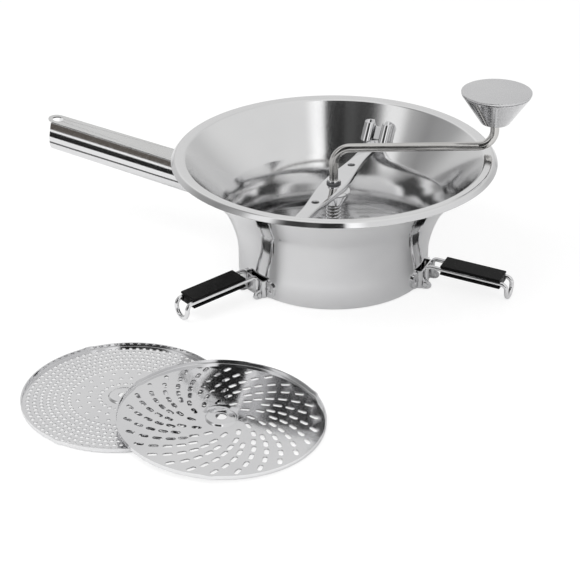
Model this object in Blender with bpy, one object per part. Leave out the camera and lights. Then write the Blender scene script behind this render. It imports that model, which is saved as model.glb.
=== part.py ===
"""A hand-cranked food mill of pressed stainless steel.

The bowl hangs over a pot on a long handle and three folding legs.
A spring presses the crank's blade on a perforated disc in the bowl's foot.
Two spare discs, a fine one and a coarse one, lie in front of the mill.
Units are metres and +Z is up. The handle points along -X from the mill's axis.
"""

import math

import bmesh
import bpy
from mathutils import Matrix, Vector
from mathutils.geometry import delaunay_2d_cdt

MM = 0.001

# Clearances between pieces
SEAT_GAP = 0.3 * MM
PIN_GAP = 0.3 * MM
SLIDE_GAP = 0.4 * MM

# Weld distances of flat patterns
PATTERN_WELD = 0.000001 * MM
CREASE_WELD = 0.001 * MM

# Bowl: a pressed shell, cylinder below, flare, cone, flat rim and rolled lip
SHELL_THICKNESS = 1.0 * MM
FOOT_RADIUS = 74.45 * MM
SEAT_WIDTH = 10.45 * MM
FOOT_CORNER = 0.9 * MM
CYLINDER_HEIGHT = 19.0 * MM
FLARE_WIDTH = 12.35 * MM
FLARE_TOP_HEIGHT = 60.0 * MM
FLARE_LOWER_PULL = 9.0 * MM
FLARE_UPPER_PULL = 14.0 * MM
FLARE_UPPER_LEAN_SHARE = 0.6
CONE_WIDTH = 27.7 * MM
CREASE_HEIGHT = 94.9 * MM
RIM_WIDTH = 6.8 * MM
RIM_EDGE_HEIGHT = 96.1 * MM
LIP_WIDTH = 3.2 * MM
LIP_HEIGHT = 92.2 * MM
BOWL_SIDES = 54
FLARE_STEPS = 5
MITRE_FLOOR_SHARE = 0.4

# Handle: a tapered U channel under a flat top plate with a hanging eye
HANDLE_EYE_REACH = 241.6 * MM
HANDLE_EYE_HEIGHT = 87.6 * MM
HANDLE_RISE_DEG = 8.1
HANDLE_ROOT_WIDTH = 21.5 * MM
HANDLE_TIP_WIDTH = 15.6 * MM
HANDLE_ROOT_DEPTH = 27.8 * MM
HANDLE_TIP_DEPTH = 27.0 * MM
HANDLE_SHEET = 1.2 * MM
EYE_RADIUS = 4.4 * MM
CHANNEL_PAST_EYE = 2.4 * MM
CHANNEL_WALL_SHARE = 0.42
CHANNEL_BULGE_SHARE = 0.08
CHANNEL_WALL_STEPS = 2
CHANNEL_BOTTOM_STEPS = 8
CHANNEL_STATIONS = 5
ROOT_SEARCH_STEPS = 12
EYE_END_STEPS = 12
EYE_SIDES = 16
HANDLE_MOUNT_WIDTH = 38.0 * MM
HANDLE_MOUNT_SHEET = 1.2 * MM
HANDLE_ROOT_GAP = 0.55 * MM
HANDLE_MOUNT_LOW = 34.0 * MM
HANDLE_MOUNT_HIGH = 76.0 * MM
MOUNT_STEPS = 6

# Bridge: the sprung cross bar, held down under two curled catches
BAR_TOP_HEIGHT = 71.5 * MM
BAR_SHEET = 1.2 * MM
BAR_END_HALF_WIDTH = 5.4 * MM
BAR_MID_HALF_WIDTH = 9.8 * MM
BAR_FLANGE_DEPTH = 3.5 * MM
BAR_LEAF_HALF_LENGTH = 58.0 * MM
BAR_HOLE_REACH = 37.8 * MM
BAR_HOLE_RADIUS = 3.0 * MM
BAR_HOLE_SIDES = 12
BAR_STATIONS = 12
CATCH_HALF_WIDTH = 11.7 * MM
CATCH_SHEET = 1.1 * MM
CATCH_CURL_RADIUS = 3.7 * MM
CATCH_RISE = 12.7 * MM
CATCH_CURL_DEG = 265.0
CATCH_CURL_STEPS = 7

# Crank: one bent rod from the disc, up through the bar, along the arm and up into the knob
ROD_RADIUS = 3.4 * MM
ROD_FOOT_HEIGHT = 1.0 * MM
ARM_HEIGHT = 100.6 * MM
ARM_REACH = 122.5 * MM
ARM_BEND_RADIUS = 12.5 * MM
ARM_AZIMUTH_DEG = 24.3
ROD_BEND_STEPS = 7
ROD_ROUND_STEPS = 3

# Knob: a steel cone turning on a plastic bush round the rod's end
KNOB_OVER_ARM = 19.0 * MM
KNOB_HEIGHT = 23.6 * MM
KNOB_FOOT_RADIUS = 11.0 * MM
KNOB_CORNER = 1.2 * MM
KNOB_EDGE_RADIUS = 26.4 * MM
KNOB_SHEET = 1.1 * MM
KNOB_CAP_THICKNESS = 1.7 * MM
KNOB_CAP_OVERHANG = 0.4 * MM
KNOB_CAP_ROUND = 0.6 * MM
KNOB_BUSH_RADIUS = 6.0 * MM
KNOB_HEAD_ROOM = 8.2 * MM
KNOB_RETAINER_RADIUS = 5.4 * MM
KNOB_RETAINER_THICKNESS = 1.2 * MM
ROD_PAST_RETAINER = 1.0 * MM
KNOB_SIDES = 32

# Shaft fittings
COLLAR_RADIUS = 5.0 * MM
COLLAR_LENGTH = 2.0 * MM
BUSHING_RADIUS = 4.7 * MM
BUSHING_FLANGE_RADIUS = 5.6 * MM
BUSHING_FLANGE_THICKNESS = 1.0 * MM
HUB_RADIUS = 5.8 * MM
HUB_TOP_HEIGHT = 17.0 * MM
WASHER_RADIUS = 8.0 * MM
WASHER_THICKNESS = 1.2 * MM
CUP_TOP_RADIUS = 14.4 * MM
CUP_FOOT_RADIUS = 7.9 * MM
CUP_HEIGHT = 11.4 * MM
CUP_SHEET = 1.0 * MM
FITTING_SIDES = 20

# Pressure spring: one unbroken coil
SPRING_RADIUS = 5.3 * MM
SPRING_WIRE = 1.3 * MM
SPRING_CURLS = 16
SPRING_POINTS_PER_CURL = 9
SPRING_ROUND_STEPS = 1

# Agitator blade: half a disc turned up into a ramp
BLADE_SHEET = 1.2 * MM
BLADE_EDGE_GAP = 5.5 * MM
BLADE_SPAN_DEG = 215.0
BLADE_FLAT_SHARE = 0.3
BLADE_RISE = 10.5 * MM
BLADE_RAMP_POWER = 1.3
BLADE_STEPS = 18
BLADE_RINGS = 3
BLADE_START_DEG = 200.0

# Discs: perforated plates with an upturned rim and a dished boss
DISC_SIDE_GAP = 2.45 * MM
DISC_SHEET = 0.9 * MM
DISC_RIM_HEIGHT = 3.6 * MM
DISC_BORE_RADIUS = 3.9 * MM
DISC_BOSS_RADIUS = 9.4 * MM
DISC_BOSS_SLOPE = 2.2 * MM
DISC_BOSS_RISE = 1.6 * MM
DISC_EDGE_BAND = 5.0 * MM
DISC_SIDES = 48
HOLE_SIDES = 4
FINE_HOLE_RADIUS = 1.5 * MM
FINE_FIRST_RING = 18.0 * MM
FINE_RINGS = 5
FINE_FIRST_COUNT = 8
FINE_COUNT_STEP = 5
MEDIUM_HOLE_RADIUS = 2.1 * MM
MEDIUM_FIRST_RING = 20.0 * MM
MEDIUM_RINGS = 4
MEDIUM_FIRST_COUNT = 7
MEDIUM_COUNT_STEP = 4
SLOT_HALF_LENGTH = 3.7 * MM
SLOT_HALF_WIDTH = 1.7 * MM
SLOT_ARMS = 13
SLOTS_PER_ARM = 6
SLOT_FIRST_RING = 21.0 * MM
SLOT_ARM_SWEEP_DEG = 58.0
SLOT_TILT_DEG = -40.0

# Where the spare discs lie
FINE_DISC_X = -59.4 * MM
FINE_DISC_Y = -241.4 * MM
COARSE_DISC_X = 16.8 * MM
COARSE_DISC_Y = -247.0 * MM

# Legs: wire bails with rubber pads, hinged in brackets at the foot
LEG_AZIMUTHS_DEG = (0.0, 120.0, 240.0)
LEG_LETTERS = ("a", "b", "c")
LEG_WIRE_RADIUS = 1.7 * MM
LEG_HALF_WIDTH = 7.0 * MM
LEG_PIVOT_OFFSET = 5.55 * MM
LEG_PIVOT_HEIGHT = 3.8 * MM
LEG_KNEE_HEIGHT = 18.3 * MM
LEG_FALL_DEG = 3.9
LEG_ARM_LENGTH = 63.6 * MM
LEG_KNEE_BEND = 3.4 * MM
HOOK_BEND_SHARE = 0.9
LEG_BEND_STEPS = 3
LEG_BOW_STEPS = 8
LEG_PIN_PROUD = 0.5 * MM
WIRE_ROUND_STEPS = 1
PAD_FROM_PIVOT = 11.0 * MM
PAD_HOOK_SPACE = 5.1 * MM
PAD_HALF_WIDTH = 8.9 * MM
PAD_FLANGE = 1.8 * MM
PAD_DRAFT = 0.3 * MM

# Leg brackets: folded channels with two hinge ears, and side straps up to the rim
BRACKET_HALF_WIDTH = 12.4 * MM
BRACKET_SHEET = 1.3 * MM
BRACKET_TAPER = 0.8 * MM
BRACKET_WALL_GAP = 0.9 * MM
BRACKET_OVER = 6.5 * MM
BRACKET_LOW = 0.8 * MM
EAR_SHEET = 1.3 * MM
EAR_RADIUS = 3.6 * MM
EAR_NECK_HEIGHT = 11.5 * MM
EAR_STEPS = 10
EAR_ROOT_SHARE = 0.6
STRAP_WIDTH = 8.4 * MM
STRAP_SHEET = 1.1 * MM
STRAP_LOW = 1.6 * MM
STRAP_HIGH = 87.5 * MM

# Colours
STEEL = (0.78, 0.78, 0.79)
SATIN = (0.70, 0.70, 0.71)
RUBBER = (0.012, 0.012, 0.013)
NYLON = (0.10, 0.10, 0.11)


# Derived sizes

HALF_SHELL = SHELL_THICKNESS / 2
SEAT_INNER_RADIUS = FOOT_RADIUS - SEAT_WIDTH
FLARE_TOP_RADIUS = FOOT_RADIUS + FLARE_WIDTH
CREASE_RADIUS = FLARE_TOP_RADIUS + CONE_WIDTH
RIM_EDGE_RADIUS = CREASE_RADIUS + RIM_WIDTH
LIP_RADIUS = RIM_EDGE_RADIUS + LIP_WIDTH
CONE_LEAN = CONE_WIDTH / (CREASE_HEIGHT - FLARE_TOP_HEIGHT)
CONE_SPREAD = math.hypot(CONE_LEAN, 1)
HANDLE_RISE = math.radians(HANDLE_RISE_DEG)
HANDLE_FOOT = HANDLE_EYE_HEIGHT - HANDLE_EYE_REACH * math.tan(HANDLE_RISE)
EYE_ALONG = HANDLE_EYE_REACH / math.cos(HANDLE_RISE)
CHANNEL_END = EYE_ALONG + CHANNEL_PAST_EYE
MOUNT_OFFSET = HALF_SHELL + SEAT_GAP + HANDLE_MOUNT_SHEET
DISC_RADIUS = FOOT_RADIUS - SHELL_THICKNESS - DISC_SIDE_GAP
DISC_FIELD_RADIUS = DISC_RADIUS - DISC_EDGE_BAND
BLADE_RADIUS = DISC_RADIUS - BLADE_EDGE_GAP
DISC_FLOOR = SHELL_THICKNESS + SEAT_GAP
DISC_TOP = DISC_FLOOR + DISC_SHEET
CATCH_TOP_HEIGHT = BAR_TOP_HEIGHT + CATCH_RISE
CUP_TOP_HEIGHT = BAR_TOP_HEIGHT - BAR_SHEET / 2 - BAR_FLANGE_DEPTH - SEAT_GAP
BORE_RADIUS = ROD_RADIUS + PIN_GAP
BLADE_FLOOR = DISC_TOP + SEAT_GAP
WASHER_FLOOR = HUB_TOP_HEIGHT + SEAT_GAP
SPRING_FOOT = WASHER_FLOOR + WASHER_THICKNESS + SEAT_GAP
SPRING_HEAD = CUP_TOP_HEIGHT - CUP_SHEET - SEAT_GAP
BUSHING_TOP = BAR_TOP_HEIGHT + SEAT_GAP + BUSHING_FLANGE_THICKNESS
KNOB_FOOT_HEIGHT = ARM_HEIGHT + KNOB_OVER_ARM
KNOB_EDGE_HEIGHT = KNOB_FOOT_HEIGHT + KNOB_HEIGHT
KNOB_BUSH_TOP = KNOB_EDGE_HEIGHT - KNOB_HEAD_ROOM
RETAINER_FLOOR = KNOB_BUSH_TOP + SEAT_GAP
ROD_HEAD_HEIGHT = RETAINER_FLOOR + KNOB_RETAINER_THICKNESS + ROD_PAST_RETAINER
LEG_PIVOT_REACH = FOOT_RADIUS + LEG_PIVOT_OFFSET
LEG_HOOK_REACH = LEG_PIVOT_REACH + LEG_ARM_LENGTH
PAD_START_REACH = LEG_PIVOT_REACH + PAD_FROM_PIVOT
PAD_LENGTH = LEG_ARM_LENGTH - PAD_FROM_PIVOT - PAD_HOOK_SPACE
BRACKET_FACE = LEG_PIVOT_REACH - LEG_WIRE_RADIUS - SEAT_GAP
EAR_HALF_SPAN = LEG_HALF_WIDTH + LEG_WIRE_RADIUS + SEAT_GAP
DISC_SPACING = math.hypot(COARSE_DISC_X - FINE_DISC_X, COARSE_DISC_Y - FINE_DISC_Y)
COARSE_DISC_TILT = math.asin((DISC_RIM_HEIGHT + SEAT_GAP) / DISC_SPACING)
COARSE_DISC_LIFT = DISC_RADIUS * math.sin(COARSE_DISC_TILT)


def clear_scene():
    for item in list(bpy.data.objects):
        bpy.data.objects.remove(item, do_unlink=True)


def make_material(name, colour, metallic, roughness):
    material = bpy.data.materials.new(name)
    material.use_nodes = True
    shader = material.node_tree.nodes["Principled BSDF"]
    shader.inputs["Base Color"].default_value = (*colour, 1)
    shader.inputs["Metallic"].default_value = metallic
    shader.inputs["Roughness"].default_value = roughness
    return material


def make_pivot(name, place, parent=None):
    pivot = bpy.data.objects.new(name, None)
    pivot.location = place
    pivot.parent = parent
    bpy.context.scene.collection.objects.link(pivot)
    return pivot


def add_object(name, data, material, parent):
    item = bpy.data.objects.new(name, data)
    item.parent = parent
    data.materials.append(material)
    bpy.context.scene.collection.objects.link(item)
    return item


def finish_mesh(name, solid, material, parent, shift=None, smooth_deg=35):
    """Turn a bmesh into a named object; shift moves it into its parent's frame."""
    bmesh.ops.recalc_face_normals(solid, faces=solid.faces)
    if shift is not None:
        bmesh.ops.translate(solid, vec=-Vector(shift), verts=solid.verts)
    mesh = bpy.data.meshes.new(name)
    solid.to_mesh(mesh)
    solid.free()
    mesh.shade_smooth()
    mesh.set_sharp_from_angle(angle=math.radians(smooth_deg))
    return add_object(name, mesh, material, parent)


def turn_profile(outline, sides, centre=(0, 0)):
    """Spin a closed outline of (radius, height) points into a ring."""
    solid = bmesh.new()
    rings = []
    for side in range(sides):
        angle = 2 * math.pi * side / sides
        cosine = math.cos(angle)
        sine = math.sin(angle)
        ring = []
        for radius, height in outline:
            ring.append(solid.verts.new((centre[0] + radius * cosine, centre[1] + radius * sine, height)))
        rings.append(ring)
    for side in range(sides):
        ring = rings[side]
        following = rings[(side + 1) % sides]
        for index in range(len(outline)):
            other = (index + 1) % len(outline)
            solid.faces.new((ring[index], following[index], following[other], ring[other]))
    return solid


def turn_solid(outline, sides, centre=(0, 0)):
    """Spin an open outline, whose ends lie on the axis, into a solid."""
    solid = bmesh.new()
    foot = solid.verts.new((centre[0], centre[1], outline[0][1]))
    head = solid.verts.new((centre[0], centre[1], outline[-1][1]))
    rings = []
    for radius, height in outline[1:-1]:
        ring = []
        for side in range(sides):
            angle = 2 * math.pi * side / sides
            x = centre[0] + radius * math.cos(angle)
            y = centre[1] + radius * math.sin(angle)
            ring.append(solid.verts.new((x, y, height)))
        rings.append(ring)
    for side in range(sides):
        other = (side + 1) % sides
        solid.faces.new((foot, rings[0][other], rings[0][side]))
        solid.faces.new((head, rings[-1][side], rings[-1][other]))
        for lower, upper in zip(rings, rings[1:]):
            solid.faces.new((lower[side], lower[other], upper[other], upper[side]))
    return solid


def sheet_outline(middle, thickness):
    """Thicken an open line of 2D points to a closed outline, mitred at its corners."""
    half = thickness / 2
    left = []
    right = []
    for index, point in enumerate(middle):
        here = Vector(point)
        before = Vector(middle[index - 1]) if index > 0 else None
        after = Vector(middle[index + 1]) if index < len(middle) - 1 else None
        arriving = (here - before).normalized() if before is not None else (after - here).normalized()
        leaving = (after - here).normalized() if after is not None else arriving
        normal = Vector((-arriving.y - leaving.y, arriving.x + leaving.x)).normalized()
        reach = half / max(normal.dot(Vector((-arriving.y, arriving.x))), MITRE_FLOOR_SHARE)
        left.append(tuple(here + normal * reach))
        right.append(tuple(here - normal * reach))
    return left + right[::-1]



def loft_rings(rings, sheet_ends=False):
    """Skin equal closed rings of points and cap both ends; a bent sheet's ends are capped in strips."""
    solid = bmesh.new()
    built = [[solid.verts.new(point) for point in ring] for ring in rings]
    count = len(rings[0])
    for near, far in zip(built, built[1:]):
        for index in range(count):
            other = (index + 1) % count
            solid.faces.new((near[index], near[other], far[other], far[index]))
    if sheet_ends:
        for index in range(count // 2 - 1):
            strip = (index, index + 1, count - 2 - index, count - 1 - index)
            solid.faces.new([built[0][corner] for corner in reversed(strip)])
            solid.faces.new([built[-1][corner] for corner in strip])
        return solid
    solid.faces.new(built[0][::-1])
    solid.faces.new(built[-1])
    bmesh.ops.triangulate(solid, faces=[face for face in solid.faces if len(face.verts) > 4])
    return solid


def inside(point, loop):
    crossings = 0
    for index, (x, y) in enumerate(loop):
        next_x, next_y = loop[(index + 1) % len(loop)]
        if (y > point[1]) != (next_y > point[1]):
            if point[0] < x + (point[1] - y) * (next_x - x) / (next_y - y):
                crossings += 1
    return crossings % 2 == 1


def sheet_body(outline, holes, creases, place):
    """Cut a flat pattern with holes and fold it: place(u, v, side) gives each face's points."""
    points = []
    edges = []
    for loop in [outline] + holes:
        start = len(points)
        points.extend(Vector(point) for point in loop)
        edges.extend((start + index, start + (index + 1) % len(loop)) for index in range(len(loop)))
    for line in creases:
        start = len(points)
        points.extend(Vector(point) for point in line)
        edges.extend((start + index, start + index + 1) for index in range(len(line) - 1))
    flat, _, triangles, _, _, _ = delaunay_2d_cdt(points, edges, [], 0, PATTERN_WELD)
    kept = []
    for triangle in triangles:
        middle = sum((flat[index] for index in triangle), Vector((0, 0))) / 3
        if inside(middle, outline) and not any(inside(middle, hole) for hole in holes):
            kept.append(triangle)
    return thicken(flat, kept, place)



def thicken(flat, triangles, place):
    """Give a triangulated pattern its two faces and its edge walls."""
    solid = bmesh.new()
    used = sorted({index for triangle in triangles for index in triangle})
    upper = {index: solid.verts.new(place(flat[index].x, flat[index].y, 1)) for index in used}
    lower = {index: solid.verts.new(place(flat[index].x, flat[index].y, -1)) for index in used}
    borders = {}
    for triangle in triangles:
        solid.faces.new([upper[index] for index in triangle])
        solid.faces.new([lower[index] for index in reversed(triangle)])
        for start, end in zip(triangle, list(triangle[1:]) + [triangle[0]]):
            if (end, start) in borders:
                del borders[(end, start)]
            else:
                borders[(start, end)] = True
    for start, end in borders:
        solid.faces.new((upper[end], upper[start], lower[start], lower[end]))
    return solid


def circle_points(radius, sides, centre=(0, 0), turn=0):
    points = []
    for side in range(sides):
        angle = turn + 2 * math.pi * side / sides
        points.append((centre[0] + radius * math.cos(angle), centre[1] + radius * math.sin(angle)))
    return points


def bend_path(corners, radii, steps):
    """Round the corners of a path of 3D points."""
    path = [Vector(corners[0])]
    for index in range(1, len(corners) - 1):
        corner = Vector(corners[index])
        arriving = (corner - Vector(corners[index - 1])).normalized()
        leaving = (Vector(corners[index + 1]) - corner).normalized()
        angle = arriving.angle(leaving)
        radius = radii[index - 1]
        back = radius * math.tan(angle / 2)
        start = corner - arriving * back
        inward = (leaving - arriving * math.cos(angle)).normalized()
        centre = start + inward * radius
        for step in range(steps + 1):
            swing = angle * step / steps
            path.append(centre - inward * radius * math.cos(swing) + arriving * radius * math.sin(swing))
    path.append(Vector(corners[-1]))
    return path


def add_tube(name, path, radius, resolution, material, parent, shift):
    """A round wire along a path, closed at both ends."""
    curve = bpy.data.curves.new(name, "CURVE")
    curve.dimensions = "3D"
    curve.bevel_depth = radius
    curve.bevel_resolution = resolution
    curve.use_fill_caps = True
    spline = curve.splines.new("POLY")
    spline.points.add(len(path) - 1)
    for point, target in zip(spline.points, path):
        point.co = (*(Vector(target) - Vector(shift)), 1)
    spline.use_smooth = True
    return add_object(name, curve, material, parent)


def polar(radius, angle, height):
    return Vector((radius * math.cos(angle), radius * math.sin(angle), height))


# Bowl

def flare_line():
    """The flare between cylinder and cone, as a smooth curve with four control points."""
    low = FOOT_RADIUS - HALF_SHELL
    upper = FLARE_TOP_RADIUS - FLARE_UPPER_LEAN_SHARE * FLARE_UPPER_PULL
    pulls = (
        Vector((low, CYLINDER_HEIGHT)),
        Vector((low, CYLINDER_HEIGHT + FLARE_LOWER_PULL)),
        Vector((upper, FLARE_TOP_HEIGHT - FLARE_UPPER_PULL)),
        Vector((FLARE_TOP_RADIUS, FLARE_TOP_HEIGHT)),
    )
    line = []
    for step in range(FLARE_STEPS + 1):
        share = step / FLARE_STEPS
        rest = 1 - share
        point = pulls[0] * rest ** 3
        point += pulls[1] * 3 * share * rest ** 2
        point += pulls[2] * 3 * share ** 2 * rest
        point += pulls[3] * share ** 3
        line.append(tuple(point))
    return line


def bowl_line():
    """The middle line of the shell, from the disc seat to the lip."""
    wall = FOOT_RADIUS - HALF_SHELL
    line = [(SEAT_INNER_RADIUS, HALF_SHELL)]
    line.append((wall - FOOT_CORNER, HALF_SHELL))
    line.append((wall, HALF_SHELL + FOOT_CORNER))
    line.extend(flare_line())
    line.append((CREASE_RADIUS, CREASE_HEIGHT))
    line.append((RIM_EDGE_RADIUS, RIM_EDGE_HEIGHT))
    line.append((LIP_RADIUS, LIP_HEIGHT))
    return line


def wall_radius(height, offset):
    """Radius of the shell's wall at a height, offset outwards square to it."""
    line = bowl_line()[2:-2]
    for low, high in zip(line, line[1:]):
        if height <= high[1] or high is line[-1]:
            lean = (high[0] - low[0]) / (high[1] - low[1])
            return low[0] + (height - low[1]) * lean + offset * math.hypot(lean, 1)


def inner_wall(height, gap):
    """Radius of the shell's inner face at the middle of a facet, less a gap square to it."""
    return wall_radius(height, -HALF_SHELL - gap) * math.cos(math.pi / BOWL_SIDES)


def build_bowl(steel, root):
    solid = turn_profile(sheet_outline(bowl_line(), SHELL_THICKNESS), BOWL_SIDES)
    finish_mesh("bowl_shell", solid, steel, root)


# Handle

def handle_point(along, across, down):
    """A place on the handle: along its length, across it and below its top plate."""
    x = -(along * math.cos(HANDLE_RISE) + down * math.sin(HANDLE_RISE))
    z = HANDLE_FOOT + along * math.sin(HANDLE_RISE) - down * math.cos(HANDLE_RISE)
    return Vector((x, across, z))



def handle_start(across, down):
    """How far out the handle begins so that it just clears its mount on the bowl's wall."""
    along = FLARE_TOP_RADIUS
    for _ in range(ROOT_SEARCH_STEPS):
        point = handle_point(along, across, down)
        wanted = wall_radius(point.z, MOUNT_OFFSET + HANDLE_ROOT_GAP)
        along += wanted - math.hypot(point.x, point.y)
    return along



def handle_size(along, root_size, tip_size):
    share = (along - FLARE_TOP_RADIUS) / (EYE_ALONG - FLARE_TOP_RADIUS)
    return root_size + (tip_size - root_size) * share


def channel_section():
    """The channel's middle line, across and down as shares of half its width and its depth."""
    wall = []
    for step in range(CHANNEL_WALL_STEPS + 1):
        angle = math.pi / 2 * step / CHANNEL_WALL_STEPS
        width = 1 + CHANNEL_BULGE_SHARE * math.sin(angle)
        wall.append((width, CHANNEL_WALL_SHARE * step / CHANNEL_WALL_STEPS))
    line = [(-across, down) for across, down in wall]
    for step in range(1, CHANNEL_BOTTOM_STEPS):
        angle = math.pi * step / CHANNEL_BOTTOM_STEPS
        drop = CHANNEL_WALL_SHARE + (1 - CHANNEL_WALL_SHARE) * math.sin(angle)
        line.append((-math.cos(angle) * (1 + CHANNEL_BULGE_SHARE), drop))
    return line + wall[::-1]



def build_handle(steel, root):
    plate_gap = HANDLE_SHEET + SEAT_GAP
    stations = []
    for station in range(CHANNEL_STATIONS):
        share = station / (CHANNEL_STATIONS - 1)
        rough = FLARE_TOP_RADIUS + (CHANNEL_END - FLARE_TOP_RADIUS) * share
        half_width = (handle_size(rough, HANDLE_ROOT_WIDTH, HANDLE_TIP_WIDTH) - HANDLE_SHEET) / 2
        depth = handle_size(rough, HANDLE_ROOT_DEPTH, HANDLE_TIP_DEPTH) - plate_gap - HANDLE_SHEET / 2
        middle = [(across * half_width, down * depth) for across, down in channel_section()]
        ring = []
        for across, down in sheet_outline(middle, HANDLE_SHEET):
            start = handle_start(across, down + plate_gap)
            along = start + (CHANNEL_END - start) * share
            ring.append(handle_point(along, across, down + plate_gap))
        stations.append(ring)
    finish_mesh("handle_channel", loft_rings(stations, sheet_ends=True), steel, root)
    build_handle_plate(steel, root)
    build_handle_mount(steel, root)


def build_handle_plate(steel, root):
    start = handle_start(0, 0)
    end_radius = HANDLE_TIP_WIDTH / 2
    outline = [(start, -HANDLE_ROOT_WIDTH / 2)]
    for step in range(EYE_END_STEPS + 1):
        angle = math.pi * step / EYE_END_STEPS - math.pi / 2
        outline.append((EYE_ALONG + end_radius * math.cos(angle), end_radius * math.sin(angle)))
    outline.append((start, HANDLE_ROOT_WIDTH / 2))
    eye = circle_points(EYE_RADIUS, EYE_SIDES, (EYE_ALONG, 0))

    def place(along, across, side):
        return handle_point(along, across, 0 if side > 0 else HANDLE_SHEET)

    finish_mesh("handle_top_plate", sheet_body(outline, [eye], [], place), steel, root)



def build_handle_mount(steel, root):
    """A saddle on the bowl's wall that carries the handle's root."""
    half_angle = HANDLE_MOUNT_WIDTH / 2 / FLARE_TOP_RADIUS
    rings = []
    for step in range(MOUNT_STEPS + 1):
        height = HANDLE_MOUNT_LOW + (HANDLE_MOUNT_HIGH - HANDLE_MOUNT_LOW) * step / MOUNT_STEPS
        inner = []
        outer = []
        for part in range(MOUNT_STEPS + 1):
            angle = math.pi - half_angle + 2 * half_angle * part / MOUNT_STEPS
            inner.append(polar(wall_radius(height, HALF_SHELL + SEAT_GAP), angle, height))
            outer.append(polar(wall_radius(height, MOUNT_OFFSET), angle, height))
        rings.append(inner + outer[::-1])
    finish_mesh("handle_mount", loft_rings(rings), steel, root)



# Bridge

def bar_half_width(along):
    """Half the bar's width: slim ends that swell into a leaf round the shaft."""
    if abs(along) >= BAR_LEAF_HALF_LENGTH:
        return BAR_END_HALF_WIDTH
    swell = (1 + math.cos(math.pi * along / BAR_LEAF_HALF_LENGTH)) / 2
    return BAR_END_HALF_WIDTH + (BAR_MID_HALF_WIDTH - BAR_END_HALF_WIDTH) * swell


def bar_half_length():
    """The bar's ends reach the bowl's wall, at the lower edge of the turned-down sides."""
    wall = inner_wall(BAR_TOP_HEIGHT - BAR_SHEET / 2 - BAR_FLANGE_DEPTH, SEAT_GAP)
    return math.sqrt(wall ** 2 - BAR_END_HALF_WIDTH ** 2)


def build_bar(steel, bridge):
    """The bar lies along Y; its pattern is drawn along and across, with both edges turned down."""
    limit = 1 + BAR_FLANGE_DEPTH / BAR_MID_HALF_WIDTH
    reach = bar_half_length()
    stations = []
    for station in range(2 * BAR_STATIONS + 1):
        stations.append(reach * (station / BAR_STATIONS - 1))
    outline = [(along, -limit * BAR_MID_HALF_WIDTH) for along in stations]
    outline += [(along, limit * BAR_MID_HALF_WIDTH) for along in reversed(stations)]
    creases = [[(along, sign * BAR_MID_HALF_WIDTH) for along in stations] for sign in (-1, 1)]
    holes = []
    bore = BUSHING_RADIUS + PIN_GAP
    centres = ((-BAR_HOLE_REACH, BAR_HOLE_RADIUS), (0, bore), (BAR_HOLE_REACH, BAR_HOLE_RADIUS))
    for place_along, radius in centres:
        hole = []
        for along, across in circle_points(radius, BAR_HOLE_SIDES, (place_along, 0)):
            hole.append((along, across * BAR_MID_HALF_WIDTH / bar_half_width(along)))
        holes.append(hole)

    def place(along, across, side):
        half = side * BAR_SHEET / 2
        middle_height = BAR_TOP_HEIGHT - BAR_SHEET / 2
        width = bar_half_width(along)
        if abs(across) < BAR_MID_HALF_WIDTH - CREASE_WELD:
            return Vector((-across * width / BAR_MID_HALF_WIDTH, along, middle_height + half))
        sign = math.copysign(1, across)
        drop = abs(across) - BAR_MID_HALF_WIDTH
        if drop < CREASE_WELD:
            return Vector((-sign * (width - BAR_SHEET / 2 + half), along, middle_height + half))
        return Vector((-sign * (width - BAR_SHEET / 2 + half), along, middle_height - drop))

    solid = sheet_body(outline, holes, creases, place)
    finish_mesh("bridge_bar", solid, steel, bridge, smooth_deg=25)



def build_bridge_fittings(steel, nylon, bridge):
    flange_floor = BAR_TOP_HEIGHT + SEAT_GAP
    bushing = [
        (BORE_RADIUS, CUP_TOP_HEIGHT + SEAT_GAP),
        (BUSHING_RADIUS, CUP_TOP_HEIGHT + SEAT_GAP),
        (BUSHING_RADIUS, flange_floor),
        (BUSHING_FLANGE_RADIUS, flange_floor),
        (BUSHING_FLANGE_RADIUS, BUSHING_TOP),
        (BORE_RADIUS, BUSHING_TOP),
    ]
    finish_mesh("bridge_bushing", turn_profile(bushing, FITTING_SIDES), nylon, bridge)
    middle = [
        (BORE_RADIUS + SLIDE_GAP, CUP_TOP_HEIGHT - CUP_SHEET / 2),
        (CUP_TOP_RADIUS - CUP_SHEET / 2, CUP_TOP_HEIGHT - CUP_SHEET / 2),
        (CUP_FOOT_RADIUS - CUP_SHEET / 2, CUP_TOP_HEIGHT - CUP_HEIGHT),
    ]
    solid = turn_profile(sheet_outline(middle, CUP_SHEET), FITTING_SIDES)
    finish_mesh("spring_cup", solid, steel, bridge)


def catch_section():
    """Across and inwards from the wall: a flat back whose two edges curl round to the front."""
    centre = CATCH_HALF_WIDTH - CATCH_CURL_RADIUS - CATCH_SHEET / 2
    right = []
    for step in range(CATCH_CURL_STEPS + 1):
        angle = math.radians(CATCH_CURL_DEG) * step / CATCH_CURL_STEPS - math.pi / 2
        across = centre + CATCH_CURL_RADIUS * math.cos(angle)
        right.append((across, CATCH_CURL_RADIUS + CATCH_CURL_RADIUS * math.sin(angle)))
    left = [(-across, inwards) for across, inwards in reversed(right)]
    return sheet_outline(left + right, CATCH_SHEET)


def build_catch(name, sign, steel, root):
    """The catch leans with the bowl's cone, just above the bar's end."""
    low = BAR_TOP_HEIGHT + SEAT_GAP
    rings = []
    for height in (low, CATCH_TOP_HEIGHT):
        wall = inner_wall(height, SEAT_GAP)
        back = math.sqrt(wall ** 2 - CATCH_HALF_WIDTH ** 2) - CATCH_SHEET / 2 * CONE_SPREAD
        ring = []
        for across, inwards in catch_section():
            ring.append(Vector((across, sign * (back - inwards), height)))
        rings.append(ring)
    finish_mesh(name, loft_rings(rings, sheet_ends=True), steel, root)


# Crank

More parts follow.
